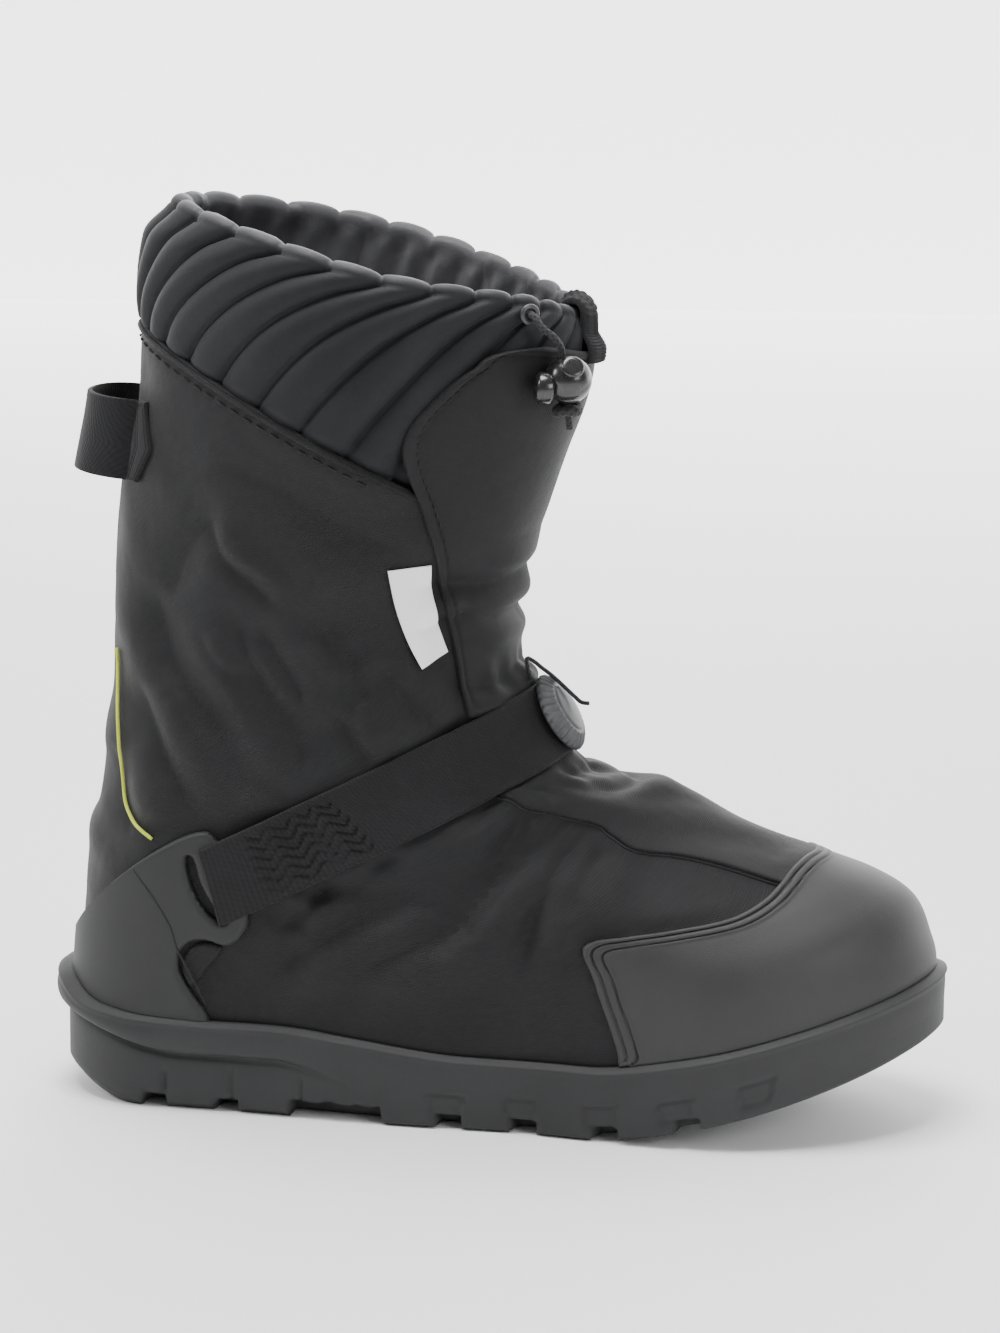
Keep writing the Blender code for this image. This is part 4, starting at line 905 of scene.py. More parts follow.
#  middle along the ground in shares of SOLE_LENGTH, turn in degrees
HEEL_GROOVES = ((-.0175, 4), (.083, -4))
FORE_GROOVES = ((.314, 6), (.404, 4), (.505, 0), (.611, -5))
ARCH_SPAN = (.150 * SOLE_LENGTH, .2536 * SOLE_LENGTH)
LEDGE_FADE, LEDGE_RISE_END, HEEL_LIFT_END = (.029, .2464), .029, -.0348
FOOT_FADE, FOOT_DROP = (.1304, .2754), .55
#  x at the sole's side where a shallow frame stands over a groove, and the last one with no groove
FRAME_PLACES = (.1125, .1415, .1725, .2015, .2310)
#  x of the narrow upright grooves at the heel's side, with the heights that they run between
HEEL_SLITS = ((.001, .0075, .0140), (.028, .0050, .0176), (.0563, .0060, .0160))
GROOVE_BITE, SLIT_HALF, SLIT_DEPTH = .0085, .0009, .0012
FRAME_HALF, FRAME_SPREAD, FRAME_LOW, FRAME_HIGH, FRAME_DEPTH = .0052, .22, .0048, .0142, .0011
LIP_BEAD, LEDGE_LINE = .0008, .0006
#  fine channels under the lugs: the middle one's half width, the slanted ones' spacing, and their depth
CHANNEL_HALF, CHANNEL_STEP, CHANNEL_DEPTH = .0022, .0145, .0016
SOLE_COLUMNS, SOLE_ROUND = 720, .85


def sole_plan(u, outset):
    """The sole's outer edge from above, moved out square to itself by outset."""
    def edge(at):
        return outline(at, HEEL_BACK, TOE_TIP, HEEL_WIDTH / 2, WAIST_WIDTH / 2, BALL_WIDTH / 2,
                       .125, .25, TOE_SWING, WAIST_BOW)[:2]
    x, y = edge(u)
    (xa, ya), (xb, yb) = edge(u - 1e-4), edge(u + 1e-4)
    length = np.hypot(xb - xa, yb - ya)
    return x + (yb - ya) / length * outset, y - (xb - xa) / length * outset


def groove_depth(x, y):
    """How far the underside rises: LUG_DEPTH in a groove, ARCH_DEPTH under the arch, steep between."""
    depth = np.zeros(np.shape(x))
    for share, turn in HEEL_GROOVES + FORE_GROOVES:
        across = (x - share * SOLE_LENGTH) * cos(radians(turn)) + y * sin(radians(turn))
        cut = 1 - ease(np.abs(across), LUG_GAP / 2 - .0006, LUG_GAP / 2 + .0006)
        depth = np.maximum(depth, LUG_DEPTH * cut)
    middle, half = (ARCH_SPAN[0] + ARCH_SPAN[1]) / 2, (ARCH_SPAN[1] - ARCH_SPAN[0]) / 2
    return np.maximum(depth, ARCH_DEPTH * (1 - ease(np.abs(x - middle), half - .0015, half + .0005)))


def heel_rise(x):
    """The sole's lower edge rises by HEEL_LIFT at the back of the heel."""
    return HEEL_LIFT * (1 - ease(x / SOLE_LENGTH, HEEL_BACK / SOLE_LENGTH, HEEL_LIFT_END))


def tread(x, y):
    """Fine channels under the lugs: one along the middle, and slanted ones in each half."""
    aside = np.abs(y - .002)
    channel = 1 - ease(aside, CHANNEL_HALF, CHANNEL_HALF + .0010)
    slant = np.abs(((x + .9 * aside) / CHANNEL_STEP) % 1 - .5) * CHANNEL_STEP
    edge = ease(np.abs(y), .006, .009)
    return CHANNEL_DEPTH * np.maximum(channel, (1 - ease(slant, .0008, .0016)) * edge)

# %% The sole's mesh
def make_sole():
    """Rings of points: side, lip, inner wall, floor, and the underside drawn in to the middle."""
    u = np.arange(SOLE_COLUMNS) / SOLE_COLUMNS
    rows = np.concatenate([np.linspace(0, 1, 4)[:-1], np.linspace(1, 3, 14)[:-1], np.linspace(3, 7, 26)])
    ring = curve_through(np.arange(8), SIDE_RINGS, rows)
    for k in (2, 3):
        ring[:, k] = np.interp(rows, np.arange(8), SIDE_RINGS[:, k]).clip(0, 1)
    heel_out, fore_out, below, above, inset = (ring[:, k, None] for k in range(5))
    x0, _ = sole_plan(u, 0)
    place = x0 / SOLE_LENGTH
    heel = 1 - ease(place, *LEDGE_FADE)
    out = LEDGE_REACH * (heel_out * heel + fore_out * (1 - heel)) - np.maximum(inset, 0)
    foot = (LEDGE_FOOT * (1 - FOOT_DROP * ease(place, *FOOT_FADE))
            + LEDGE_RISE * (1 - ease(place, HEEL_BACK / SOLE_LENGTH, LEDGE_RISE_END)))
    top = lip_top(lifted(u, lip_v(u), FIT)[:, 0])
    rise = foot * below + (top - ground(x0) - foot) * above
    heel_lift = heel_rise(x0) * (1 - ease(rise, .004, .016))
    px, py = sole_plan(u, out)
    base = groove_depth(px, py)
    bitten = (1 - ease(rise, LUG_DEPTH + .0004, LUG_DEPTH + .0012)) * (base / LUG_DEPTH).clip(0, 1)
    arched = (1 - ease(rise, ARCH_DEPTH, ARCH_DEPTH + .001)) * ((px > ARCH_SPAN[0]) & (px < ARCH_SPAN[1]))
    out = out - GROOVE_BITE * np.maximum(bitten, arched)
    z_side = np.maximum(rise + heel_lift, base * (rows[:, None] < .05))
    for middle in FRAME_PLACES:
        half = FRAME_HALF + FRAME_SPREAD * np.clip(rise - .005, 0, .009)
        within = np.minimum(half - np.abs(px - middle), np.minimum(rise - FRAME_LOW, FRAME_HIGH - rise))
        out = out - FRAME_DEPTH * ease(within, -.0003, .0003) * (1 - .45 * ease(within, .0010, .0016))
    for middle, low, high in HEEL_SLITS:
        within = np.minimum(SLIT_HALF - np.abs(px - middle), np.minimum(rise - low, high - rise))
        out = out - SLIT_DEPTH * ease(within, -.0004, .0003)
    out = out + LIP_BEAD * bell(top - ground(x0) - rise, .0016, .0010)
    out = out - LEDGE_LINE * bell(rise, foot * 1.02, .0006) * heel * ease(rows, 2, 3)[:, None]
    px, py = sole_plan(u, out)
    side = np.stack([px, py, ground(px) + z_side], -1)

    lip = lifted(u, lip_v(u), FIT)
    lip[:, 2] = lip_top(lip[:, 0])
    round_over = np.linspace(0, 1, 5)[1:, None, None]
    across = side[-1] + (lip - side[-1]) * round_over
    across[..., 2] += .0006 * np.sin(pi * round_over[..., 0])
    inner = np.stack([lifted(u, lip_v(u) * share, FIT) for share in (.75, .5, .25)])
    floor_ring = lifted(u, np.zeros_like(u), FIT)
    floor_ring[:, 2] = FLOOR_HEIGHT + ground(floor_ring[:, 0]) - FIT
    start, end = HEEL_BACK + .05, TOE_TIP - .06

    def drawn_in(ring, pull):
        """x and y of a ring drawn in towards the middle line."""
        x, y = ring[:, 0], ring[:, 1]
        return x + (np.clip(x, start, end) - x) * pull, y * (1 - pull)

    floor_x, floor_y = drawn_in(floor_ring, np.linspace(0, 1, 8)[1:, None])
    plate = np.stack([floor_x, floor_y, FLOOR_HEIGHT + ground(floor_x) - FIT], -1)

    pull = np.linspace(0, 1, 34)[::-1][:-1, None]
    under_x, under_y = drawn_in(side[0], pull)
    under_y = under_y + TOE_SWING * ease(under_x, .1, .25) * pull
    lift_back = heel_rise(under_x)
    depth = groove_depth(under_x, under_y)
    fine = tread(under_x, under_y) * (depth < .0005) * ease(1 - pull, .0, .02) * ease(pull, .03, .06)
    under = np.stack([under_x, under_y, ground(under_x) + np.maximum(depth + fine, lift_back)], -1)
    points = np.concatenate([under, side, across, inner, floor_ring[None], plate])
    faces, corner_rows, corner_cols = quads(len(points), SOLE_COLUMNS, ring_cols=True)
    uv = np.stack([corner_cols * (SOLE_ROUND / SOLE_COLUMNS), corner_rows * .001], -1)
    sole = new_piece("sole", points, faces, sole_rubber, uv)
    clean(sole, 1e-5, outwards=False)
    return sole


wear(make_sole(), "sole_rubber", "outsole")

# %% [markdown]
# ## The insole
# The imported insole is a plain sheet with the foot's outline, and that is its real shape, so it stays
# and only gets its felt.

# %% Felt for the insole
insole_felt = Finish("insole_felt", .95, Sheen_Weight=.4)
nap = insole_felt.noise(700, 3, .7)
insole_felt.feed("Base Color", insole_felt.colour((.016, .016, .017), (.034, .034, .036), nap))
insole_felt.bump(nap, .0004)
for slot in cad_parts["insole"].material_slots:
    slot.link = "OBJECT"
    slot.material = insole_felt.material

# %% [markdown]
# ## The nylon shaft
# A closed shell: the outer face with its folds from inside the sole's lip up to the collar, and a
# plainer inner face two millimetres in.

# %% The shaft
SHAFT_WALL, SHAFT_ROUND = .002, .48


def make_shaft():
    """Rows of points: up the outer face with all of its folds, and down the inner face with fewer."""
    cols, rows, inside = 400, 176, 36
    u = np.arange(cols) / cols
    low, high = lip_v(u) * .5, collar_v(u) + .004
    climb = np.concatenate([np.linspace(0, 1, rows), np.linspace(1, 0, inside)])[:, None]
    v = low + (high - low) * climb
    lift = np.concatenate([np.zeros(rows), np.full(inside, -SHAFT_WALL)])[:, None]
    soft = np.concatenate([np.ones(rows), np.full(inside, .6)])[:, None]
    points = lifted(np.broadcast_to(u, v.shape), v, lift + soft * relief_at(u + 0 * v, v))
    faces, corner_rows, corner_cols = quads(rows + inside, cols, True, True)
    height = np.concatenate([climb[:, 0], [0]]) * CLIMB * .8
    uv = np.stack([corner_cols * (SHAFT_ROUND / cols), height[corner_rows]], -1)
    return new_piece("shaft", points, faces, nylon, uv)


wear(make_shaft(), "nylon", "upper")

# %% [markdown]
# ## Panels on the shaft
# The vamp panel, the front flap and the toe cap are cut pieces laid on the shaft. Each is a pillow
# between two given edges. Their thin shadow lines are what shows in the photograph.

# %% Vamp panel and front flap
def between_edges(table, low_v, high_v):
    """place(a, b) across the front between an edge and its mirror, from low_v up to high_v."""
    def place(a, b):
        v = low_v + (high_v - low_v) * b
        start = edge_u(table, v)
        return start + (1 - 2 * start) * a, v
    return place


wear(pillow("vamp_panel", nylon, between_edges(VAMP_EDGE, .205, .470), .105, .120, .0002, .0017,
            .0015, .0014), "nylon")

HEM_INSET, HEM_RISE = .0046, .0010


def flap_hem(a, b, edge):
    """A folded hem: the edge stands up a little, with the row of stitches sunk in behind it."""
    return HEM_RISE * (1 - ease(edge, .0035, .0050)) - .0006 * bell(edge, HEM_INSET, .0007)


front_flap = pillow("front_flap", flap_nylon, between_edges(FLAP_EDGE, .505, .921), .165, .170, SEAT,
                    FLAP_THICKNESS - .0002, .0015, .0018, raise_by=flap_hem)
wear(front_flap, "nylon", "front_flap")

# %% The toe cap
CAP_STITCHES, CAP_WELT, CAP_SUNK, CAP_DOME = (.0024, .0050), .0004, .0005, .0010


def mirrored(line):
    """Carries a line from the outer side over the front to the inner side."""
    return np.concatenate([line, line[-2::-1] * (-1, 1) + (1, 0)])


def cap_border(inset, count=700):
    """The cap's rear and upper edges as one line of u and v, moved in square to itself by inset."""
    rear = np.array(CAP_REAR)[:-1, ::-1]
    line = smooth_path(mirrored(np.concatenate([rear, CAP_EDGE])) * (CAP_SPREAD, CLIMB), count)
    ahead = unit(np.gradient(line, axis=0))
    return (line + inset * np.stack([ahead[:, 1], -ahead[:, 0]], 1)) / (CAP_SPREAD, CLIMB)


def make_toe_cap():
    """Columns stand closer at the rear edges and rows at the top, where the two stitched grooves run."""
    corner = np.linspace(CAP_U[0], .3235, 40)
    half = np.concatenate([corner, np.linspace(corner[-1], .5, 96)[1:]])
    u = np.concatenate([half, 1 - half[-2::-1]])
    b = np.concatenate([np.linspace(0, .82, 38)[:-1], np.linspace(.82, 1, 30)])[:, None]
    low = lip_v(u) + .001
    v = low + (cap_v(u) - low) * b
    rear_shift = (edge_u(CAP_REAR, v) - CAP_U[0]) * (1 - ease(on_one_side(u), CAP_U[0], .34)) * (v < .165)
    u = u + np.sign(.5 - u) * rear_shift
    gap, _ = from_path(u * CAP_SPREAD, v * CLIMB, cap_border(0, 260) * (CAP_SPREAD, CLIMB))
    border = np.clip(-gap, 0, None)
    sunk = sum(bell(border, inset, .00036) for inset in CAP_STITCHES)
    welt = CAP_WELT * (1 - ease(border, CAP_STITCHES[1], .0070)) - CAP_SUNK * sunk
    dome = CAP_DOME * ease(border, .006, .030)
    lift = SEAT + (CAP_THICKNESS - .0001 + welt + dome) * quarter_round(border, .0011)
    outer, inner = skin(u, v, lift, 0), skin(u, v, SEAT - .0003, 0)
    # The groove field says where the stitched grooves get their painted shade.
    groove = np.clip(sunk, 0, 1)**2 * .9
    return closed_pair("toe_cap_rubber", cap_rubber, outer, inner, u * CAP_SPREAD, v * CLIMB,
                       {"groove": groove})


wear(make_toe_cap(), "cap_rubber", "toe_cap")

# %% [markdown]
# ## The heel counter
# The counter is moulded rubber with a cut outline, a slot for the strap and a notch. A fine slab over
# the heel is cut with that outline as it stands in the imported model. Its lift falls off towards the
# outline, so the cut edge looks rounded. On each side, the moulded groove is shown by painted shade: a
# thin dark tube, half sunk into the rubber.

# %% The heel counter
PRISM_HALF = .08


def outline_prism(name, loop):
    """A closed solid: the outline seen from the side, run from -Y to +Y."""
    count = len(loop)
    points = [(x, side * PRISM_HALF, z) for side in (-1, 1) for x, z in loop]
    faces = [tuple(range(count)), tuple(reversed(range(count, 2 * count)))]
    faces += [(k, count + k, count + (k + 1) % count, (k + 1) % count) for k in range(count)]
    shape = bmesh.new()
    corners = [shape.verts.new(p) for p in points]
    for face in faces:
        shape.faces.new([corners[k] for k in face])
    bmesh.ops.recalc_face_normals(shape, faces=shape.faces)
    mesh = bpy.data.meshes.new(name)
    shape.to_mesh(mesh)
    shape.free()
    return add_object(name, mesh)


def carve(piece, cutter, operation):
    """Applies an exact Boolean and removes the cutter."""
    modifier = piece.modifiers.new("carve", "BOOLEAN")
    modifier.operation, modifier.solver, modifier.object = operation, "EXACT", cutter
    result = bpy.data.meshes.new_from_object(piece.evaluated_get(bpy.context.evaluated_depsgraph_get()))
    piece.modifiers.remove(modifier)
    piece.data = result
    bpy.data.objects.remove(cutter, do_unlink=True)


def smooth_up_to(piece, degrees):
    """Smooth shading, but sharp where faces meet at more than that angle."""
    piece.data.polygons.foreach_set("use_smooth", np.ones(len(piece.data.polygons), bool))
    piece.data.set_sharp_from_angle(angle=radians(degrees))


def make_counter():
    """A slab round the heel, thin at its outline and its slot, cut with both."""
    u, share = np.meshgrid(np.linspace(-.19, .19, 250), np.linspace(0, 1, 96))
    low = lip_v(u) + .001
    v = low + (.36 - low) * share
    point = upper_point(u, v)
    inside = -from_outline(point[..., 0], point[..., 2], COUNTER_LOOP)
    slot_gap = from_outline(point[..., 0], point[..., 2], SLOT_LOOP)
    edge = np.minimum(np.minimum(inside, slot_gap), (v - low) * CLIMB + .002)
    lift = SEAT + (COUNTER_THICKNESS + .0004) * (.25 + .75 * quarter_round(edge, .0018))
    outer, inner = skin(u, v, lift, 0), skin(u, v, SEAT - .0003, 0)
    counter = closed_pair("heel_counter_rubber", counter_rubber, outer, inner, u * HEEL_SPREAD, v * CLIMB)
    carve(counter, outline_prism("counter_outline", COUNTER_LOOP), "INTERSECT")
    carve(counter, outline_prism("slot_outline", SLOT_LOOP), "DIFFERENCE")
    smooth_up_to(counter, 50)
    return counter


wear(make_counter(), "sole_rubber", "heel_counter")

# %% The trims in the counter's notch
TRIM_LOOP = smooth_loop(np.array(TRIM_OUTLINE) * SOLE_LENGTH, 5)


def make_trim(name, side):
    """A small folded patch of nylon behind the notch, on one side."""
    u, v = np.meshgrid(np.linspace(.118, .158, 40), np.linspace(.055, .155, 40))
    u = side * u
    if side < 0:
        u, v = u[:, ::-1], v[:, ::-1]
    point = upper_point(u, v)
    inside = -from_outline(point[..., 0], point[..., 2], TRIM_LOOP)
    lift = SEAT + .0002 + .0011 * quarter_round(inside, .0012)
    outer, inner = skin(u, v, lift, 0), skin(u, v, SEAT - .0003, 0)
    trim = closed_pair(name, flap_nylon, outer, inner, u * HEEL_SPREAD, v * CLIMB)
    carve(trim, outline_prism("trim_outline", TRIM_LOOP), "INTERSECT")
    return trim


for where, side in SIDES:
    wear(make_trim("notch_trim_" + where, side), "nylon", "rear_trim_" + where)

# %% [markdown]
# ## Strap, label, loop and tab
# Webbing is a flat band with rounded edges. The strap leaves the counter's slot, crosses the wing and
# the flap, and is pressed into the cloth. The label is a bare white tab of cloth, sewn in at its right
# edge and loose at its left. The pull loop stands off the back between two pointed ends that are sewn
# flat. The hook tab goes up the front from the flap, and folds over the rim to the inside.

# %% The instep strap
STRAP_LENGTH = .300
SEWN_ROWS, SEWN_WAVE, SEWN_DEPTH = 7, .0075, .0013
STRAP_U = np.linspace(STRAP_START, 1 - STRAP_START, 241)
STRAP_V = [v_where(STRAP_U, lambda p: strap_level(p) + off) for off in (STRAP_WIDTH / 2, 0, -STRAP_WIDTH / 2)]


def strap_place(a, b):
    """From one start over the instep to the other, and from the strap's lower edge to its upper one."""
    u = STRAP_START + (1 - 2 * STRAP_START) * a
    low, middle, high = (np.interp(u, STRAP_U, line) for line in STRAP_V)
    t = 2 * b - 1
    return u, np.where(t < 0, middle + (middle - low) * t, middle + (high - middle) * t)


def strap_low(u, v):
    """Lift of the strap's back: over the wing's bar, then down, then over the flap's end."""
    side = on_one_side(u)
    over_bar = SEAT + COUNTER_THICKNESS + FIT
    over_flap = SEAT + FLAP_THICKNESS + SEAT
    low = over_bar + (SEAT - over_bar) * ease(side, .190, .225)
    return low + (over_flap - SEAT) * ease(side, .325, .365)


def sewn_patch(a, b, edge):
    """Wavy rows of stitching press into the strap near its sewn ends, and each edge is a bit thicker."""
    run = np.minimum(a, 1 - a) * STRAP_LENGTH
    patch = ease(run, .012, .014) * (1 - ease(run, .041, .043)) * ease(edge, .0022, .0035)
    waves = np.abs(((b + .05 * np.sin(2 * pi * run / SEWN_WAVE)) * SEWN_ROWS) % 1 - .5) * 2
    return -SEWN_DEPTH * patch * ease(waves, .60, .95) + .0002 * (1 - ease(edge, .0012, .0024))


strap = pillow("strap_band", strap_webbing, strap_place, STRAP_LENGTH, STRAP_WIDTH, strap_low,
               STRAP_THICKNESS, .0010, .0007, soft=.5, raise_by=sewn_patch)
wear(strap, "webbing", "instep_strap")

# %% The bare label
#  u, v of its lower left, lower right, upper left and upper right corner, and how far it curls off
LABEL_CORNERS = ((.3541, .5622), (.3815, .5778), (.3216, .6744), (.3560, .6800))
LABEL_WIDTH, LABEL_HEIGHT, LABEL_CURL, CORNER_CURL = .0165, .052, .0006, .0008


def label_place(a, b):
    """Straight lines between the four corners."""
    low_left, low_right, high_left, high_right = np.array(LABEL_CORNERS)
    low = low_left + (low_right - low_left) * a[..., None]
    high = high_left + (high_right - high_left) * a[..., None]
    place = low + (high - low) * b[..., None]
    return place[..., 0], place[..., 1]


def label_curl(u, v):
    """The free left edge and its lower corner stand off the cloth by up to a millimetre and a half."""
    (low_u, low_v), _, (high_u, high_v), _ = LABEL_CORNERS
    lean = low_u + (high_u - low_u) * (v - low_v) / (high_v - low_v)
    free = 1 - ease(u - lean, .0, .022)
    return SEAT + free * (LABEL_CURL + CORNER_CURL * (1 - ease(v, .57, .60)))


label = pillow("side_label_cloth", label_cloth, label_place, LABEL_WIDTH, LABEL_HEIGHT, label_curl, .0007,
               .0009, .0004)
wear(label, "white_label", "side_label")

# %% The pull loop
LOOP_REACH, LOOP_THICKNESS, LOOP_WIDTH = .0175, .0016, .031
#  the band's length, from its share of the way round and what the loop itself adds
LOOP_SPAN = .170 * HEEL_SPREAD + .03


def loop_place(a, b):
    """The band's two ends are sewn flat and come to a blunt point."""
    reach = .080 + .020 * (1 - np.abs(2 * b - .9)).clip(0, 1)
    return reach * (2 * a - 1), .757 + .085 * b


def loop_seam(a, b, edge):
    """Stitched borders, sunk a little into the sewn ends."""
    sewn = ease(np.abs(2 * a - 1), .70, .74)
    across = np.minimum(edge, LOOP_SPAN * np.abs(np.abs(a - .5) - .39))
    return -.0006 * sewn * bell(across, .0016, .0005)


def loop_low(u, v):
    """Flat on the shaft at both ends, and out by LOOP_REACH between them."""
    bulge = np.clip(1 - (np.abs(u) / .062)**3.4, 0, 1)**.6
    return SEAT + LOOP_REACH * bulge


loop = pillow("pull_loop_band", loop_webbing, loop_place, LOOP_SPAN, LOOP_WIDTH, loop_low, LOOP_THICKNESS,
              .0009, .0006, soft=.4, raise_by=loop_seam)
wear(loop, "webbing", "pull_loop")

# %% The hook tab at the top of the flap
TAB_THICKNESS, COLLAR_TUCK = .0022, .0014
TAB_WIDTH, TAB_HEIGHT, TAB_STEP, TAB_RIM = .028, .052, .0005, .0008
#  the share of its height where it starts to fold over, the fold's radius and its turn
TAB_FOLD, FOLD_RADIUS, FOLD_TURN = .72, .0050, radians(165)


def tab_low(u, v):
    """Lift of the tab's back: over the flap, then down on the collar's tucked edge."""
    over_flap, over_collar = 2 * SEAT + FLAP_THICKNESS, FIT - COLLAR_TUCK
    return over_flap + (over_collar - over_flap) * ease(v, .921, .955)


def hooks(a, b, edge):
    """Rows of small hooks: a fine square pattern of bumps inside a plain border."""
    rows = np.abs(np.sin(pi * a * 16)) * np.abs(np.sin(pi * b * 26))
    return .0011 * rows * ease(edge, .0006, .0014)


def make_tab():
    """Up the front to the rim, then over it in an arc round the padding's middle."""
    a, b = np.meshgrid(shares(TAB_WIDTH, TAB_STEP, TAB_RIM), shares(TAB_HEIGHT, TAB_STEP, TAB_RIM))
    u, v = .468 + .087 * a, .905 + .094 * np.minimum(b / TAB_FOLD, 1)
    turn = FOLD_TURN * np.clip((b - TAB_FOLD) / (1 - TAB_FOLD), 0, 1)
    edge = edge_gap(a, b, TAB_WIDTH, TAB_HEIGHT)
    over = np.cos(turn)[..., None] * upper_normal(u, v) + np.sin(turn)[..., None] * upward(u, v)

    def face(lift):
        return lifted(u, v, -FOLD_RADIUS) + (FOLD_RADIUS + lift)[..., None] * over
    low = tab_low(u, v)
    outer = face(low + (TAB_THICKNESS - .0002 + hooks(a, b, edge)) * quarter_round(edge, TAB_RIM))
    return closed_pair("hook_tab_patch", tab_webbing, outer, face(low - .0002), a * TAB_WIDTH, b * TAB_HEIGHT)


wear(make_tab(), "webbing", "hook_tab")

# %% [markdown]
# ## The quilted collar
# Padded rolls run up the collar, leaning forward as they rise. Across a roll the face is an arch with
# a sharp valley beside it. At the rim the padding turns over in a half circle and goes down inside,
# where the lining is gathered. Each valley pulls the rim down a little, which scallops it.

# %% The collar
COLLAR_PAD, COLLAR_GROOVE, COLLAR_ROLLS = .010, .0042, 28
ROLL_LEAN, RIM_DIP = .118, .0050


def make_collar():
    """Rows of points: up the outer face, over the rim, and down the inner face."""
    cols, outer_rows, rim_rows, inner_rows = COLLAR_ROLLS * 14, 40, 11, 26
    share = np.arange(cols) / cols
    phase = (share * COLLAR_ROLLS) % 1
    puff = np.clip(1 - np.abs(2 * phase - 1)**2.0, 0, 1)[None]**.6
    height = np.concatenate([np.linspace(0, 1, outer_rows) ** .9, np.ones(rim_rows - 2),
                             np.linspace(1, 0, inner_rows)])[:, None]
    turn = np.concatenate([np.zeros(outer_rows), np.linspace(0, pi, rim_rows)[1:-1], np.full(inner_rows, pi)])
    turn = turn[:, None]
    sideways = np.tanh(1.4 * np.sin(2 * pi * share)) / np.tanh(1.4)
    u = share + ROLL_LEAN * sideways * (np.where(turn < pi / 2, height, 1)**1.45 - .45)
    seam = collar_v(u[0])
    v = np.minimum(seam + (1 - seam) * height, .9990)
    under_flap = ease(np.abs(u - .5), .21, .17)
    swollen = .0030 * np.sin(pi * np.clip(height, 0, 1))**.6
    puff = 1 - (1 - puff) * (.25 + .75 * ease(np.abs(u - .5), .045, .085))
    tucked = .0022 * (1 - ease(height, 0, .07))
    outer = swollen - tucked - COLLAR_GROOVE * (1 - puff) * (.35 + .65 * ease(height, 0, .12)) \
        - (COLLAR_TUCK + .0012) * under_flap
    gather = (.0012 * np.sin(2 * pi * (share * 40 + .9 * height))
              + .0002 * np.sin(2 * pi * (share * 91 + height)))
    roll = .0026 * np.sqrt(np.clip(1 - np.abs(2 * ((share * 20 + .3) % 1) - 1)**2, 0, 1))
    inner = -COLLAR_PAD - .0010 + roll + gather * ease(1 - height, .0, .2)
    inward = .0065 * ease(height, .70, 1)**1.5 * np.exp(-(np.minimum(u % 1, 1 - u % 1) / .13)**2)
    middle, half = (outer + inner) / 2 - inward, (outer - inner) / 2
    lift = middle + half * np.cos(turn)
    points = lifted(u, v, lift)
    rise = upward(u, v)
    scallop = .0020 * (1 - puff) * ease(height, .80, 1.0)
    lean_over = (.0040 * np.sin(turn) - scallop)[..., None]
    dip = RIM_DIP * np.exp(-((u - .34) / .11)**2) * ease(height, .35, 1)
    points = points + rise * (lean_over - dip[..., None])
    rows = len(points)
    faces, corner_rows, corner_cols = quads(rows, cols, True, True)
    climb = np.concatenate([np.cumsum(np.full(rows, .0016)), [0]])
    uv = np.stack([corner_cols * (.44 / cols), climb[corner_rows]], -1)
    on_outside = 1 - ease(turn, .2, 1.2)
    # valley carries where the painted shade between the rolls goes.
    fields = {"valley": (1 - puff) * on_outside,
              "inside": np.broadcast_to(1 - on_outside, (rows, cols))}
    return new_piece("collar_quilt", points, faces, quilt_cloth, uv, fields)


collar = wear(make_collar(), "quilted_nylon", "collar")

# %% The collar's lower seam, a narrow binding
def tube_along(name, finish, path, radius, sides=10, ring=False, radii=None):
    """A round tube: circles square to the path, with flat ends unless it closes on itself."""
    path = np.asarray(path, float)
    count = len(path)
    ahead = np.roll(path, -1, 0) - np.roll(path, 1, 0) if ring else np.gradient(path, axis=0)
    ahead /= np.linalg.norm(ahead, axis=1, keepdims=True)
    side = np.cross(ahead[0], (0, 0, 1.0)) if abs(ahead[0, 2]) < .9 else np.cross(ahead[0], (0, 1.0, 0))
    frames = []
    for step in ahead:
        side = side - step * np.dot(side, step)
        side = side / np.linalg.norm(side)
        frames.append(side)
    side = np.array(frames)
    other = np.cross(ahead, side)
    a = np.arange(sides) * 2 * pi / sides
    size = np.full(count, radius) if radii is None else np.asarray(radii)
    points = (path[:, None] + size[:, None, None]
              * (side[:, None] * np.cos(a)[None, :, None] + other[:, None] * np.sin(a)[None, :, None]))
    walked = np.concatenate([[0], np.cumsum(np.linalg.norm(np.diff(path, axis=0), axis=1)), [0]])
    walked[-1] = walked[-2] + np.linalg.norm(path[0] - path[-1])
    faces, corner_rows, corner_cols = quads(count, sides, ring, True)
    uv = np.stack([walked[corner_rows], corner_cols / sides], -1)
    points = points.reshape(-1, 3)
    if not ring:
        for centre, start, flip in ((path[0], 0, True), (path[-1], (count - 1) * sides, False)):
            points = np.concatenate([points, centre[None]])
            hub = len(points) - 1
            k = np.arange(0, sides, 2)
            fan = np.stack([np.full(len(k), hub)] + [start + (k + j) % sides for j in range(3)], 1)
            fan = fan[:, ::-1] if flip else fan
            faces = np.concatenate([faces, fan])
            uv = np.concatenate([uv, np.zeros((len(fan), 4, 2))])
    piece = new_piece(name, points, faces, finish, uv)
    clean(piece)
    return piece


binding_u = np.arange(520) / 520
binding = tube_along("collar_binding", flap_nylon, skin(binding_u, collar_v(binding_u) - .0005, .0004), .0011,
                     8, ring=True)
wear(binding, "nylon")

# %% The counter's moulded groove, drawn in painted shade
#  seen from the side, in mm
COUNTER_GROOVE_SHADE = ((-8, 94), (-1, 85), (5, 75), (9, 63), (14, 53), (19, 43))


